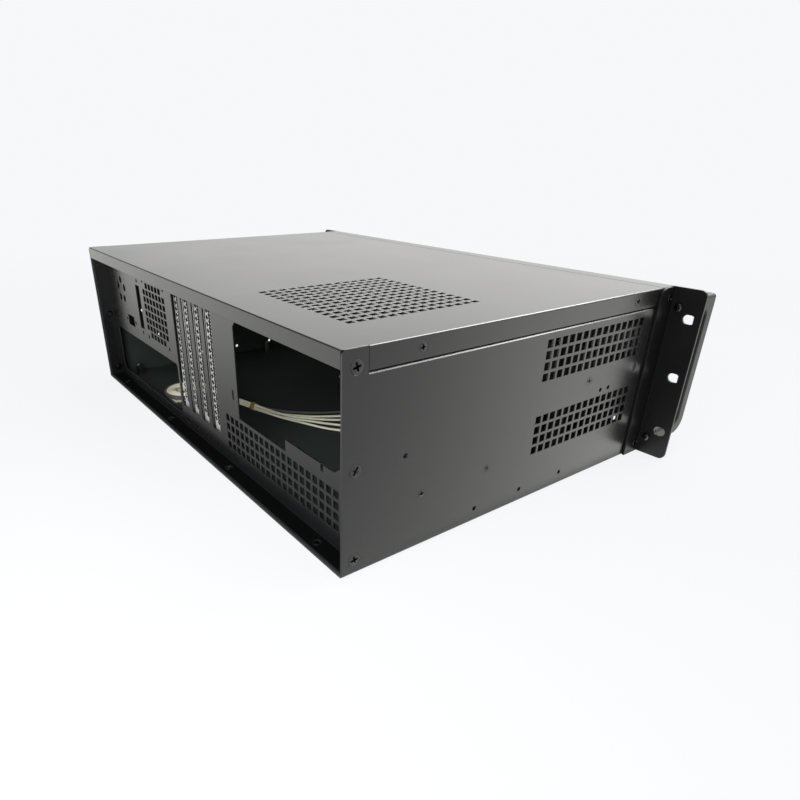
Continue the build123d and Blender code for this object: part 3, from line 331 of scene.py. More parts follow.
# leads: five loose wires from the control board, banded together and coiled near the rear
leadSizes = {
    "radius": 0.001,
    "bandPlace": (0.0355, 0.0945),
    "turn": math.radians(12.2),
    "coilCentre": (0.110, 0.128),
    "coilRadius": 0.017,
    "columnPitch": 0.0022,
    "rowPitch": 0.0021,
    "lowestRow": 0.0025,
    "exitAngle": math.radians(810),
    "pointsPerTurn": 16,
    "rowsAbove": 2,
    "dropsAt": (190, 550),  # degrees round the coil where a turn sinks one row
    "dropOver": 38,
    "wobble": 0.0005,
    "wobbleRate": 1.7,
    "topSpread": 0.0004,
    "bundleEnd": 0.0578,
    "coilStart": 0.0685,
    "coilStartHeight": 0.0069,
    "columnShare": 0.96,
    "steps": 6,
    "roundness": 3,
}
# the way from the coil to the plug: x, share of the way to the plug's y, height
leadTail = ((0.1035, 0.2, 0.0025), (0.0975, 0.75, 0.0026), (0.0925, 1, 0.0028), (0.0890, 1, 0.0028))
# side, height: where the lead leaves the bundle; column: its place in the coil; endY: its line into the plug
leadPlans = {
    "lead_1": {
        "finish": "leadCream", "length": 0.56, "side": 0.0029, "height": 0.0070,
        "column": -2, "endY": 0.1380, "plug": "plug_3",
        "route": [
            (-0.0380, -0.0998, 0.0320), (-0.0381, -0.0890, 0.0310), (-0.0384, -0.0785, 0.0180),
            (-0.0390, -0.0640, 0.0055), (-0.0403, -0.0460, 0.0025), (-0.0438, -0.0220, 0.0025),
            (-0.0470, 0.0030, 0.0025), (-0.0620, 0.0230, 0.0025), (-0.0620, 0.0440, 0.0025),
            (-0.0460, 0.0615, 0.0025), (-0.0200, 0.0734, 0.0025), (0.0075, 0.0874, 0.0032),
            (0.0283, 0.0948, 0.0059), (0.0420, 0.0977, 0.0059), (0.0614, 0.1023, 0.0058),
            (0.0787, 0.1053, 0.0064),
        ],
    },
    "lead_2": {
        "finish": "leadCream", "length": 0.58, "side": 0.0015, "height": 0.0054,
        "column": -1, "endY": 0.1412, "plug": "plug_2",
        "route": [
            (-0.0350, -0.0998, 0.0320), (-0.0352, -0.0890, 0.0310), (-0.0351, -0.0780, 0.0175),
            (-0.0360, -0.0630, 0.0050), (-0.0372, -0.0460, 0.0025), (-0.0396, -0.0300, 0.0025),
            (-0.0410, -0.0100, 0.0025), (-0.0436, 0.0060, 0.0025), (-0.0510, 0.0240, 0.0025),
            (-0.0500, 0.0420, 0.0025), (-0.0365, 0.0540, 0.0025), (-0.0180, 0.0675, 0.0025),
            (0.0065, 0.0846, 0.0025), (0.0284, 0.0941, 0.0038), (0.0421, 0.0971, 0.0038),
            (0.0615, 0.1021, 0.0036), (0.0786, 0.1055, 0.0043),
        ],
    },
    "lead_3": {
        "finish": "leadCream", "length": 0.60, "side": -0.0002, "height": 0.0072,
        "column": 0, "endY": 0.1438,
        "route": [
            (-0.0320, -0.0998, 0.0320), (-0.0319, -0.0890, 0.0310), (-0.0323, -0.0785, 0.0180),
            (-0.0328, -0.0640, 0.0055), (-0.0342, -0.0470, 0.0025), (-0.0362, -0.0290, 0.0025),
            (-0.0378, -0.0060, 0.0025), (-0.0425, 0.0160, 0.0025), (-0.0345, 0.0400, 0.0025),
            (-0.0160, 0.0625, 0.0025), (0.0066, 0.0816, 0.0036), (0.0287, 0.0930, 0.0072),
            (0.0423, 0.0960, 0.0072), (0.0619, 0.1002, 0.0066), (0.0792, 0.1031, 0.0069),
        ],
    },
    "lead_4": {
        "finish": "leadCream", "length": 0.63, "side": -0.0013, "height": 0.0052,
        "column": 1, "endY": 0.1470,
        "route": [
            (-0.0290, -0.0998, 0.0320), (-0.0291, -0.0890, 0.0310), (-0.0288, -0.0780, 0.0175),
            (-0.0298, -0.0630, 0.0050), (-0.0314, -0.0470, 0.0025), (-0.0326, -0.0300, 0.0025),
            (-0.0336, -0.0100, 0.0025), (-0.0350, 0.0120, 0.0025), (-0.0265, 0.0345, 0.0025),
            (-0.0125, 0.0575, 0.0025), (0.0086, 0.0792, 0.0025), (0.0289, 0.0919, 0.0038),
            (0.0426, 0.0949, 0.0038), (0.0619, 0.1000, 0.0030), (0.0791, 0.1035, 0.0034),
        ],
    },
    "lead_5": {
        "finish": "leadGrey", "length": 0.65, "side": -0.0034, "height": 0.0056,
        "column": 2, "endY": 0.1496, "plug": "plug_1",
        "route": [
            (-0.0260, -0.0998, 0.0320), (-0.0261, -0.0890, 0.0310), (-0.0262, -0.0785, 0.0180),
            (-0.0264, -0.0640, 0.0055), (-0.0274, -0.0480, 0.0025), (-0.0294, -0.0320, 0.0025),
            (-0.0292, -0.0120, 0.0025), (-0.0250, 0.0080, 0.0025), (-0.0174, 0.0290, 0.0025),
            (-0.0060, 0.0525, 0.0027), (0.0124, 0.0776, 0.0040), (0.0290, 0.0913, 0.0059),
            (0.0427, 0.0942, 0.0059), (0.0622, 0.0988, 0.0048), (0.0794, 0.1021, 0.0048),
        ],
    },
}


def smoothStep(value):
    value = min(max(value, 0.0), 1.0)
    return value * value * (3 - 2 * value)


# a place on the bundle's line, from its distance along, its offset to the side and its height
def besideBundle(along, side, height):
    turn = leadSizes["turn"]
    x, y = leadSizes["bandPlace"]
    return (x + math.cos(turn) * along - math.sin(turn) * side,
            y + math.sin(turn) * along + math.cos(turn) * side, height)


def coilPoints(plan):
    start = leadSizes["turn"] - math.pi / 2
    end = leadSizes["exitAngle"]
    step = 2 * math.pi / leadSizes["pointsPerTurn"]
    count = round((end - start) / step)
    ownRadius = leadSizes["coilRadius"] + plan["column"] * leadSizes["columnPitch"]
    points = []
    for number in range(count + 1):
        angle = start + (end - start) * number / count
        degrees = math.degrees(angle)
        drop = sum(smoothStep((degrees - begin) / leadSizes["dropOver"]) for begin in leadSizes["dropsAt"])
        wobble = leadSizes["wobble"] * math.sin(leadSizes["wobbleRate"] * angle)
        radius = ownRadius + wobble + leadSizes["topSpread"] * (1 - drop)
        x = leadSizes["coilCentre"][0] + radius * math.cos(angle)
        y = leadSizes["coilCentre"][1] + radius * math.sin(angle)
        height = leadSizes["lowestRow"] + leadSizes["rowPitch"] * (leadSizes["rowsAbove"] - drop)
        points.append((x, y, height))
    return points


def leadPoints(plan):
    points = list(plan["route"])
    points.append(besideBundle(leadSizes["bundleEnd"], plan["side"], plan["height"]))
    side = -plan["column"] * leadSizes["columnPitch"] * leadSizes["columnShare"]
    points.append(besideBundle(leadSizes["coilStart"], side, leadSizes["coilStartHeight"]))
    points += coilPoints(plan)
    lastY = points[-1][1]
    for x, share, height in leadTail:
        points.append((x, lastY * (1 - share) + plan["endY"] * share, height))
    return points


def makeLead(name, plan):
    wire = makeWire(name + "Wire", leadPoints(plan), leadSizes["radius"], leadSizes["steps"],
                    leadSizes["roundness"], plan["finish"])
    return wire


# slot covers: the expanded-metal diamonds are cut wider, nearly to the covers' edges
latticeNodes = ["slot_cover_1", "slot_cover_2", "slot_cover_3", "slot_cover_4"]
lattice = {
    "columns": (-0.0063, -0.0021, 0.0021, 0.0063),
    "rows": 19,
    "pitch": 0.005,
    "middle": 0.0715,
    "reach": 0.00234,
    "front": 0.1572,
    "back": 0.1550,
    "shadedWallFacing": 0.5,  # faces turned further from the rear than this are the lattice's hole walls, which carry painted shade
    "shadedWallsAbove": 0.02,
}


def openLattice(piece, node):
    low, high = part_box(node)
    middle = (low.x + high.x) / 2
    reach = lattice["reach"]
    ring = [(reach, 0), (0, reach), (-reach, 0), (0, -reach)]
    count = len(ring)
    corners, faces = [], []
    for number, column in enumerate(lattice["columns"]):
        shift = (number % 2 - 0.5) * lattice["pitch"] / 2  # every other column stands half a pitch higher
        for row in range(lattice["rows"]):
            height = lattice["middle"] + shift + (row - (lattice["rows"] - 1) / 2) * lattice["pitch"]
            first = len(corners)
            for y in (lattice["front"], lattice["back"]):
                corners += [(middle + column + x, y, height + z) for x, z in ring]
            second = first + count
            faces += [tuple(range(first, second)), tuple(range(second + count - 1, second - 1, -1))]
            for i in range(count):
                following = (i + 1) % count
                faces.append((first + i, second + i, second + following, first + following))
    cutOut(piece, corners, faces)


# the lid's long outer folds are rounder than its cut edges
foldEdges = {"lid": {"width": 0.0009, "segments": 4, "top": 0.1324, "rear": 0.1728, "side": 0.2158}}


def softenFolds(piece, fold):
    mesh = piece.data
    weights = mesh.attributes.new("bevel_weight_edge", "FLOAT", "EDGE")
    for edge in mesh.edges:
        ends = [mesh.vertices[number].co for number in edge.vertices]
        onTop = all(end.z > fold["top"] for end in ends)
        onRear = all(end.y > fold["rear"] for end in ends)
        onSide = all(abs(end.x) > fold["side"] for end in ends)
        if onTop and (onRear or onSide):
            weights.data[edge.index].value = 1
    bevelEdges(piece, fold["width"], fold["segments"], limit_method="WEIGHT", use_clamp_overlap=False)


# pieces that carry CAD nodes over: merged, bevelled at the edges and smoothed
copySizes = {
    "mergeWithin": 0.00001,
    "flatWithin": math.radians(0.4),
    "segments": 2,
    "bevelOver": math.radians(40),
    "clamped": ["chassis_tray"],
}


def mergedCopy(node, finish, width, smoothUnder):
    piece = nodes[node].copy()
    piece.data = nodes[node].data.copy()
    piece.name = node + "Finished"
    bpy.context.scene.collection.objects.link(piece)
    selectOnly(piece)
    bpy.ops.object.mode_set(mode="EDIT")
    bpy.ops.mesh.select_all(action="SELECT")
    bpy.ops.mesh.remove_doubles(threshold=copySizes["mergeWithin"])
    bpy.ops.mesh.dissolve_limited(angle_limit=copySizes["flatWithin"])
    bpy.ops.object.mode_set(mode="OBJECT")
    if node in latticeNodes:
        openLattice(piece, node)
    if node in foldEdges:
        softenFolds(piece, foldEdges[node])
    if width:
        bevelEdges(piece, width, copySizes["segments"], limit_method="ANGLE",
                   angle_limit=copySizes["bevelOver"], use_clamp_overlap=node in copySizes["clamped"])
    bpy.ops.object.shade_smooth_by_angle(angle=math.radians(smoothUnder))
    level = piece.modifiers.new("level", "WEIGHTED_NORMAL")
    level.keep_sharp = True
    bpy.ops.object.modifier_apply(modifier="level")
    piece.data.materials.clear()
    piece.data.materials.append(materials[finish])
    for key in [key for key in piece.keys() if key.startswith("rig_")]:  # marks of the node itself
        del piece[key]
    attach(piece, bodyOf[node])
    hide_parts(node)
    return piece


# finish, width of the edges' bevel, angle smoothed up to
plugPlan = ("plugBlack", 0.00015, 30)
plugs = {node: mergedCopy(node, *plugPlan) for node in ("plug_1", "plug_2", "plug_3")}

# the leads, each coiled near the rear, take the place of the CAD leads and the CAD model's coil, which are
# hidden
leads = {name: makeLead(name, plan) for name, plan in leadPlans.items()}
for name, wire in leads.items():
    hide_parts(name)
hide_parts("lead_coil")


# rubber band: a narrow loop wound three times round the bundle
bandSizes = {
    "turns": 3,
    "pointsPerTurn": 14,
    "radius": 0.0034,
    "thickness": 0.00055,
    "width": 0.0056,
    "height": 0.0053,
    "sway": 0.0004,
    "wobble": 0.00012,
    "wobbleRate": 2.3,
    "steps": 4,
    "roundness": 2,
}


def makeBand():
    count = bandSizes["pointsPerTurn"] * bandSizes["turns"]
    points = []
    for number in range(count + 1):
        angle = 2 * math.pi * number / bandSizes["pointsPerTurn"]
        along = bandSizes["width"] * (number / count - 0.5) + bandSizes["sway"] * math.sin(angle)
        radius = bandSizes["radius"] + bandSizes["wobble"] * math.sin(bandSizes["wobbleRate"] * angle)
        height = bandSizes["height"] + radius * math.sin(angle)
        points.append(besideBundle(along, radius * math.cos(angle), height))
    loop = makeWire("leadBandLoop", points, bandSizes["thickness"], bandSizes["steps"],
                    bandSizes["roundness"], "bandOchre")
    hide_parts("lead_band")
    return loop


band = makeBand()


# crimp contact of each lead, seen in the window of its plug
contactSizes = {
    "start": 0.0772,
    "end": 0.0848,
    "halfWidth": 0.00055,
    "bottom": 0.0032,
    "top": 0.00422,
    "slant": 0.0008,
    "edge": 0.00012,
    "segments": 2,
    "smoothUnder": math.radians(40),
}


def makeContact(name):
    middle = leadPlans[name]["endY"]
    low = Vector((contactSizes["start"], middle - contactSizes["halfWidth"], contactSizes["bottom"]))
    high = Vector((contactSizes["end"], middle + contactSizes["halfWidth"], contactSizes["top"]))
    contact = startBlock(name + "Contact", low, high)
    centre = (low + high) / 2
    for vert in contact.data.vertices:
        if vert.co.x < centre.x and vert.co.z > centre.z:
            vert.co.x += contactSizes["slant"]
    bevelEdges(contact, contactSizes["edge"], contactSizes["segments"])
    bpy.ops.object.shade_smooth_by_angle(angle=contactSizes["smoothUnder"])
    contact.data.materials.append(materials["contactTin"])
    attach(contact, rootBody)
    return contact


leadPieces = {name: [makeContact(name)] for name in leadPlans}
for name, plan in leadPlans.items():
    if "plug" in plan:
        leadPieces[name].append(plugs[plan["plug"]])
leadPieces["lead_5"].append(band)
for name, wire in leads.items():
    plan = leadPlans[name]
print("leads laid")


# sheet metal, mouldings and small parts: finish, width of the edges' bevel, angle smoothed up to
copyPlans = {
    "chassis_tray": ("caseBlack", 0.00022, 40), "rear_panel": ("caseBlack", 0.00022, 40),
    "lid": ("caseBlack", 0.0003, 40), "front_panel": ("caseBlack", 0.00025, 40),
    "rack_ear_left": ("earBlack", 0.0003, 40), "rack_ear_right": ("earBlack", 0.0003, 40),
    # the shelf and the cage sit inside the case and take the darker black of painted shade
    "power_supply_shelf": ("paintedShadeBlack", 0.0002, 40), "drive_cage": ("paintedShadeBlack", 0.0002, 40),
    "slot_cover_1": ("coverNickel", 0, 30), "slot_cover_2": ("coverNickel", 0, 30),
    "slot_cover_3": ("coverNickel", 0, 30), "slot_cover_4": ("coverNickel", 0, 30),
    "handle_left": ("handleBlack", 0.0005, 60), "handle_right": ("handleBlack", 0.0005, 60),
    "hinge_pins": ("screwZinc", 0.0001, 40), "board_standoffs": ("postNickel", 0.0002, 30),
    "bay_cover_1": ("mouldedBlack", 0.0003, 40), "bay_cover_2": ("mouldedBlack", 0.0003, 40),
    "filter_door": ("mouldedBlack", 0.0003, 40), "door_hinge": ("mouldedBlack", 0.0002, 40),
    "power_button": ("mouldedBlack", 0.0003, 50), "reset_button": ("mouldedBlack", 0.0002, 50),
    "fan_frame": ("fanBlack", 0.0003, 40), "fan_rotor": ("fanBlack", 0.0002, 50),
    "foam_filter": ("foamGrey", 0.0006, 50), "control_board": ("boardGreen", 0.0001, 30),
    "usb_socket_1": ("socketSteel", 0.00015, 40), "usb_socket_2": ("socketSteel", 0.00015, 40),
    "light_lens_1": ("lensClear", 0.0002, 60), "light_lens_2": ("lensClear", 0.0002, 60),
    "lead_header": ("plugBlack", 0.0002, 40),
}
finished = {node: mergedCopy(node, *plan) for node, plan in copyPlans.items()}

# inside faces of the sheet metal, and the ledge at the foot of the rear panel, get a darker and duller
# finish: painted shade for the dim inside of the case and the shaded ledge
paintedShadeCoats = {
    "chassis_tray": "insideFloorToneAndShade",
    "rear_panel": "paintedShadeBlack",
    "lid": "paintedShadeBlack",
    "front_panel": "paintedShadeBlack",
}
insideLimits = {"side": 0.21495, "front": -0.1262, "rear": 0.1590, "bottom": 0.0011, "top": 0.13145}
footLimits = {"top": 0.0035, "facing": 0.9}


def isInside(place):
    x, y, z = place
    return (abs(x) < insideLimits["side"] and insideLimits["front"] < y < insideLimits["rear"]
            and insideLimits["bottom"] < z < insideLimits["top"])


def isFoot(face):
    return (face.normal.z > footLimits["facing"] and face.center.y > insideLimits["rear"]
            and face.center.z < footLimits["top"])


for node, shadeFinish in paintedShadeCoats.items():
    mesh = finished[node].data
    mesh.materials.append(materials[shadeFinish])
    for face in mesh.polygons:
        if isInside(face.center) or node == "rear_panel" and isFoot(face):
            face.material_index = 1

# painted shade: the lattice's hole walls get a dark metal, so the diamond openings read black like holes in
# shade
for node in latticeNodes:
    mesh = finished[node].data
    mesh.materials.append(materials["coverHoleShade"])
    for face in mesh.polygons:
        if abs(face.normal.y) < lattice["shadedWallFacing"] and face.center.z > lattice["shadedWallsAbove"]:
            face.material_index = 1
print("sheet metal and mouldings finished")


# cross-head screws, built once for each size and set in place of the plain CAD ones
screwFinishes = {
    "rear_panel_screws": "screwBlack", "floor_screws": "screwBlack", "lid_screws": "screwBlack",
    "ear_screws": "screwBlack", "handle_screws": "screwBlack", "shelf_screws": "screwBlack",
    "cage_screws": "screwBlack", "fan_screws": "screwBlack", "slot_cover_screws": "screwZinc",
    "cage_foot_screws": "screwZinc", "control_board_screws": "screwZinc",
}
screwShape = {
    "mergeWithin": 0.00001,
    "rimFrom": 0.98,  # share of the head's radius
    "edge": 0.00012,
    "flushUnder": 0.0002,  # heads lower than this are countersunk
    "flushRim": ((3, 0), (1.8, 0.4), (0.9, 1.2), (0.9, 2)),  # inwards and down, in edges
    "crownShare": 0.4,
    "crownMost": 0.0007,
    "crown": ((0, 0), (0.55, 0.04), (0.78, 0.25), (0.93, 0.6), (1, 1.15)),  # shares of radius and crown
    "spinSteps": 28,
    "closeWithin": 0.000005,
    "crossReach": 0.66,
    "crossWidth": 0.16,
    "crossDepth": 0.5,
    "depthMost": 0.6,  # share of the screw's length
    "crossAbove": 0.0003,
    "mouth": 1.04,
    "floorReach": 0.5,
    "floorWidth": 0.8,
    "firstSwing": 0.9,
    "nextSwing": 2.4,
    "smoothUnder": math.radians(32),
}
screwMeshes = {}


# reads each separate screw of a node: where its head is, which way it points and its sizes
def readScrews(node):
    work = bmesh.new()
    work.from_mesh(nodes[node].data)
    bmesh.ops.remove_doubles(work, verts=work.verts, dist=screwShape["mergeWithin"])
    left = set(work.verts)
    screws = []
    for first in work.verts:  # in the mesh's own order, so every run gives the same screws
        if first not in left:
            continue
        left.remove(first)
        island = [first]
        for vert in island:
            for edge in vert.link_edges:
                other = edge.other_vert(vert)
                if other in left:
                    left.remove(other)
                    island.append(other)
        places = [vert.co.copy() for vert in island]
        low = [min(place[axis] for place in places) for axis in range(3)]
        high = [max(place[axis] for place in places) for axis in range(3)]
        spans = [high[axis] - low[axis] for axis in range(3)]
        pairs = {axis: abs(spans[(axis + 1) % 3] - spans[(axis + 2) % 3]) for axis in range(3)}
        along = min(pairs, key=pairs.get)
        middle = Vector([(low[axis] + high[axis]) / 2 for axis in range(3)])

        def reach(place):
            flat = place - middle
            flat[along] = 0
            return flat.length

        headRadius = max(reach(place) for place in places)
        widest = [place[along] for place in places if reach(place) > screwShape["rimFrom"] * headRadius]
        atTop = abs(max(widest) - high[along]) < abs(min(widest) - low[along])
        sign = 1 if atTop else -1
        end = high[along] if atTop else low[along]
        shaft = low[along] if atTop else high[along]
        tip = [place for place in places if abs(place[along] - shaft) < screwShape["mergeWithin"]]
        shaftRadius = max(reach(place) for place in tip)
        inner = min(widest) if atTop else max(widest)
        headHeight = abs(end - inner)
        middle[along] = end
        axis = Vector((0, 0, 0))
        axis[along] = sign
        screws.append((middle, axis, headRadius, shaftRadius, spans[along], headHeight))
    work.free()
    return screws


def makeScrewMesh(headRadius, shaftRadius, length, headHeight):
    key = tuple(round(value * 1e5) for value in (headRadius, shaftRadius, length, headHeight))
    if key in screwMeshes:
        return screwMeshes[key]
    edge = screwShape["edge"]
    if headHeight < screwShape["flushUnder"]:
        profile = [(0, 0)]
        profile += [(headRadius - inward * edge, -down * edge) for inward, down in screwShape["flushRim"]]
        profile.append((shaftRadius, shaftRadius - headRadius))  # a cone of 90 degrees
    else:
        crown = min(screwShape["crownShare"] * headHeight, screwShape["crownMost"])
        profile = [(out * headRadius, -down * crown) for out, down in screwShape["crown"]]
        profile += [(headRadius, -headHeight + edge), (headRadius - edge, -headHeight)]
        profile.append((shaftRadius, -headHeight))
    profile += [(shaftRadius, -length + 2 * edge), (shaftRadius - 2 * edge, -length), (0, -length)]
    mesh = bpy.data.meshes.new("screwBody")
    mesh.from_pydata([(x, 0, z) for x, z in profile], [(i, i + 1) for i in range(len(profile) - 1)], [])
    body = linkNew("screwBody", mesh)
    selectOnly(body)
    bpy.ops.object.mode_set(mode="EDIT")
    bpy.ops.mesh.select_all(action="SELECT")
    bpy.ops.mesh.spin(steps=screwShape["spinSteps"], angle=2 * math.pi, center=(0, 0, 0), axis=(0, 0, 1))
    bpy.ops.mesh.select_all(action="SELECT")
    bpy.ops.mesh.remove_doubles(threshold=screwShape["closeWithin"])
    bpy.ops.mesh.normals_make_consistent(inside=False)
    bpy.ops.object.mode_set(mode="OBJECT")

    # the cross is wider at its mouth than at its floor
    wide = screwShape["crossReach"] * headRadius
    thin = screwShape["crossWidth"] * headRadius
    deep = min(screwShape["crossDepth"] * headRadius, screwShape["depthMost"] * length)
    shrink = {wide: screwShape["floorReach"], thin: screwShape["floorWidth"]}
    mouth = screwShape["mouth"]
    ring = [(thin, thin), (wide, thin), (wide, -thin), (thin, -thin), (thin, -wide), (-thin, -wide),
            (-thin, -thin), (-wide, -thin), (-wide, thin), (-thin, thin), (-thin, wide), (thin, wide)]
    corners = [(mouth * x, mouth * y, screwShape["crossAbove"]) for x, y in ring]
    corners += [(shrink[abs(x)] * x, shrink[abs(y)] * y, -deep) for x, y in ring]
    count = len(ring)
    faces = [tuple(range(count)), tuple(range(2 * count - 1, count - 1, -1))]
    faces += [(i + count, (i + 1) % count + count, (i + 1) % count, i) for i in range(count)]
    cutOut(body, corners, faces)
    screwMeshes[key] = body.data
    bpy.data.objects.remove(body)
    return screwMeshes[key]


def makeScrews(node, finish):
    pieces = []
    for number, (place, axis, *sizes) in enumerate(readScrews(node)):
        mesh = makeScrewMesh(*sizes).copy()
        swing = Matrix.Rotation(screwShape["firstSwing"] + screwShape["nextSwing"] * number, 4, "Z")
        aim = Vector((0, 0, 1)).rotation_difference(axis).to_matrix().to_4x4()
        mesh.transform(Matrix.Translation(place) @ aim @ swing)
        pieces.append(linkNew(node + "Finished", mesh))
    joined = pieces[0]
    selectOnly(joined)
    for piece in pieces:
        piece.select_set(True)
    if len(pieces) > 1:
        bpy.ops.object.join()
    bpy.ops.object.shade_smooth_by_angle(angle=screwShape["smoothUnder"])
    joined.data.materials.clear()
    joined.data.materials.append(materials[finish])
    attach(joined, bodyOf[node])
    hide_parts(node)


for node, finish in screwFinishes.items():
    makeScrews(node, finish)
print("screws made")


# a dark strip in the foam's grey behind the low intake slots, which look dark from inside: a sheet of
# painted shade
shadeStripSizes = {
    "low": (-0.1930, -0.1253, 0.0062),
    "high": (-0.0580, -0.1230, 0.0282),
    "edge": 0.0008,
    "segments": 3,
    "smoothUnder": math.radians(40),
}


def makeShadeStrip():
    strip = startBlock("intakeShadeStrip", Vector(shadeStripSizes["low"]), Vector(shadeStripSizes["high"]))
    bevelEdges(strip, shadeStripSizes["edge"], shadeStripSizes["segments"])
    bpy.ops.object.shade_smooth_by_angle(angle=shadeStripSizes["smoothUnder"])
    strip.data.materials.append(materials["foamGrey"])
    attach(strip, rootBody)


makeShadeStrip()


# backdrop, floor and what glossy surfaces mirror; beside and behind the case the floor glows for glossy
# rays, a painted reflection that is darker close behind the rear as painted shade; each range gives from, to
# and the values at both ends
stage = {
    "backdrop": (0.921, 0.938, 0.955, 1),
    "mirroredWhite": (1.0, 0.995, 0.97, 1),
    "ambientColour": (0.985, 0.99, 1.0, 1),
    "ambient": 0.6,
    "worldAlong": (-0.8, 0.8, 1.42, 0.5),
    "worldUp": (0.12, 0.35, 0.0, 0.3),
    "darkToward": (0.8, 0.1, 0.59),
    "darkSpot": (0.85, 0.95, 1.0, 0.1),
    "floorSize": 6.0,
    "floorHeight": -0.0004,
    "floorColour": (0.86, 0.87, 0.88, 1),
    "floorRoughness": 0.9,
    # painted reflection: the floor's glow seen in gloss, brighter towards the front along the case's left
    # side and darker close behind its rear as painted shade
    "beside": (-0.45, -0.15, 0.95, 2.0),
    "behind": (0.18, 0.36, 0.35, 1.5),
    "rearEdge": (0.172, 0.176, 0.0, 1.0),
    "sideEdge": (-0.215, -0.225, 0.0, 1.0),
    "shadowFade": (0.5, 1.2, 0.9, 1.0),
}


def mapRange(tree, source, values):
    node = addNode(tree, "ShaderNodeMapRange")
    for label, value in zip(("From Min", "From Max", "To Min", "To Max"), values):
        node.inputs[label].default_value = value
    tree.links.new(source, node.inputs["Value"])
    return node.outputs["Result"]


def makeWorld():
    world = bpy.data.worlds.new("studio")
    bpy.context.scene.world = world
    world.use_nodes = True
    tree = world.node_tree
    tree.nodes.clear()
    link = tree.links.new
    place = addNode(tree, "ShaderNodeTexCoord")
    split = addNode(tree, "ShaderNodeSeparateXYZ")
    link(place.outputs["Generated"], split.inputs[0])
    level = addNode(tree, "ShaderNodeMath", operation="ADD")
    link(mapRange(tree, split.outputs["Y"], stage["worldAlong"]), level.inputs[0])
    link(mapRange(tree, split.outputs["Z"], stage["worldUp"]), level.inputs[1])
    toward = addNode(tree, "ShaderNodeVectorMath", operation="DOT_PRODUCT")
    toward.inputs[1].default_value = stage["darkToward"]
    link(place.outputs["Generated"], toward.inputs[0])
    shaded = addNode(tree, "ShaderNodeMath", operation="MULTIPLY")
    link(level.outputs[0], shaded.inputs[0])
    link(mapRange(tree, toward.outputs["Value"], stage["darkSpot"]), shaded.inputs[1])
    surround = addNode(tree, "ShaderNodeBackground")
    surround.inputs["Color"].default_value = stage["mirroredWhite"]
    link(shaded.outputs[0], surround.inputs["Strength"])
    ambient = addNode(tree, "ShaderNodeBackground")
    ambient.inputs["Color"].default_value = stage["ambientColour"]
    ambient.inputs["Strength"].default_value = stage["ambient"]
    backdrop = addNode(tree, "ShaderNodeBackground")
    backdrop.inputs["Color"].default_value = stage["backdrop"]
    rays = addNode(tree, "ShaderNodeLightPath")
    soft = addNode(tree, "ShaderNodeMixShader")
    seen = addNode(tree, "ShaderNodeMixShader")
    out = addNode(tree, "ShaderNodeOutputWorld")
    link(rays.outputs["Is Diffuse Ray"], soft.inputs[0])
    link(surround.outputs[0], soft.inputs[1])
    link(ambient.outputs[0], soft.inputs[2])
    link(rays.outputs["Is Camera Ray"], seen.inputs[0])
    link(soft.outputs[0], seen.inputs[1])
    link(backdrop.outputs[0], seen.inputs[2])
    link(seen.outputs[0], out.inputs["Surface"])


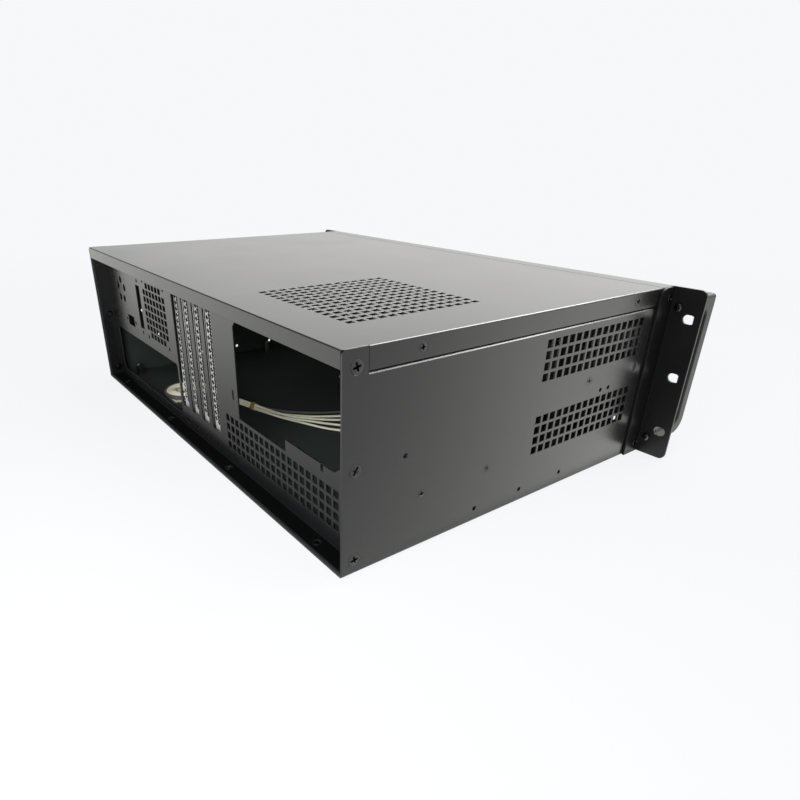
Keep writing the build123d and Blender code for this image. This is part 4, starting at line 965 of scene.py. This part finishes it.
def makeFloor():
    bpy.ops.object.select_all(action="DESELECT")
    bpy.ops.mesh.primitive_plane_add(size=stage["floorSize"], location=(0, 0, stage["floorHeight"]))
    floor = bpy.context.object
    floor.name = "studioFloor"
    material, tree, shader = newMaterial("floorWhite")
    link = tree.links.new
    shader.inputs["Base Color"].default_value = stage["floorColour"]
    shader.inputs["Roughness"].default_value = stage["floorRoughness"]
    place = addNode(tree, "ShaderNodeTexCoord")
    split = addNode(tree, "ShaderNodeSeparateXYZ")
    link(place.outputs["Object"], split.inputs[0])
    far = addNode(tree, "ShaderNodeVectorMath", operation="LENGTH")
    link(place.outputs["Object"], far.inputs[0])
    slant = addNode(tree, "ShaderNodeMath", operation="SUBTRACT")
    link(split.outputs["X"], slant.inputs[0])
    link(split.outputs["Y"], slant.inputs[1])
    beside = mapRange(tree, slant.outputs[0], stage["beside"])
    behind = mapRange(tree, split.outputs["Y"], stage["behind"])
    rear = mapRange(tree, split.outputs["Y"], stage["rearEdge"])
    level = addNode(tree, "ShaderNodeMix", data_type="FLOAT")
    link(rear, level.inputs[0])
    link(beside, level.inputs[2])
    link(behind, level.inputs[3])
    side = mapRange(tree, split.outputs["X"], stage["sideEdge"])
    near = addNode(tree, "ShaderNodeMath", operation="MAXIMUM")
    link(side, near.inputs[0])
    link(rear, near.inputs[1])
    # painted reflection: for glossy rays the floor beside and behind the case glows instead of being lit,
    # darkest close behind the rear as painted shade
    sheen = addNode(tree, "ShaderNodeEmission")
    sheen.inputs["Color"].default_value = stage["mirroredWhite"]
    link(level.outputs[0], sheen.inputs["Strength"])
    glow = addNode(tree, "ShaderNodeEmission")
    glow.inputs["Color"].default_value = stage["backdrop"]
    rays = addNode(tree, "ShaderNodeLightPath")
    seen = addNode(tree, "ShaderNodeMath", operation="MULTIPLY")
    link(rays.outputs["Is Camera Ray"], seen.inputs[0])
    link(mapRange(tree, far.outputs["Value"], stage["shadowFade"]), seen.inputs[1])
    mirrored = addNode(tree, "ShaderNodeMath", operation="MULTIPLY")
    link(rays.outputs["Is Glossy Ray"], mirrored.inputs[0])
    link(near.outputs[0], mirrored.inputs[1])
    lit = addNode(tree, "ShaderNodeMixShader")
    link(mirrored.outputs[0], lit.inputs[0])
    link(shader.outputs[0], lit.inputs[1])
    link(sheen.outputs[0], lit.inputs[2])
    mix = addNode(tree, "ShaderNodeMixShader")
    link(seen.outputs[0], mix.inputs[0])
    link(lit.outputs[0], mix.inputs[1])
    link(glow.outputs[0], mix.inputs[2])
    link(mix.outputs[0], tree.nodes["Material Output"].inputs["Surface"])
    floor.data.materials.append(material)


# a key lamp for the whole scene, a fill for the openings and one that only shines in folds and edges
lamps = {
    "key": {"place": (-0.4, -0.5, 1.3), "size": 0.7, "power": 6.0, "diffuse": True, "glossy": True},
    "fill": {"place": (-0.32, 0.46, 0.26), "size": 0.3, "power": 2.8, "diffuse": True, "glossy": False},
    "edge": {"place": (-0.18, -0.77, 1.02), "size": 0.85, "power": 38.0, "diffuse": False, "glossy": True},
}


def addSoftbox(name, values):
    data = bpy.data.lights.new(name + "Softbox", "AREA")
    data.shape = "SQUARE"
    data.size = values["size"]
    data.energy = values["power"]
    lamp = linkNew(name + "Softbox", data)
    lamp.location = values["place"]
    lamp.rotation_euler = (-Vector(values["place"])).to_track_quat("-Z", "Y").to_euler()
    lamp.visible_camera = False
    lamp.visible_diffuse = values["diffuse"]
    lamp.visible_glossy = values["glossy"]


makeWorld()
makeFloor()
for name, values in lamps.items():
    addSoftbox(name, values)
bpy.context.scene.view_settings.view_transform = "Standard"
print("stage and lights set")
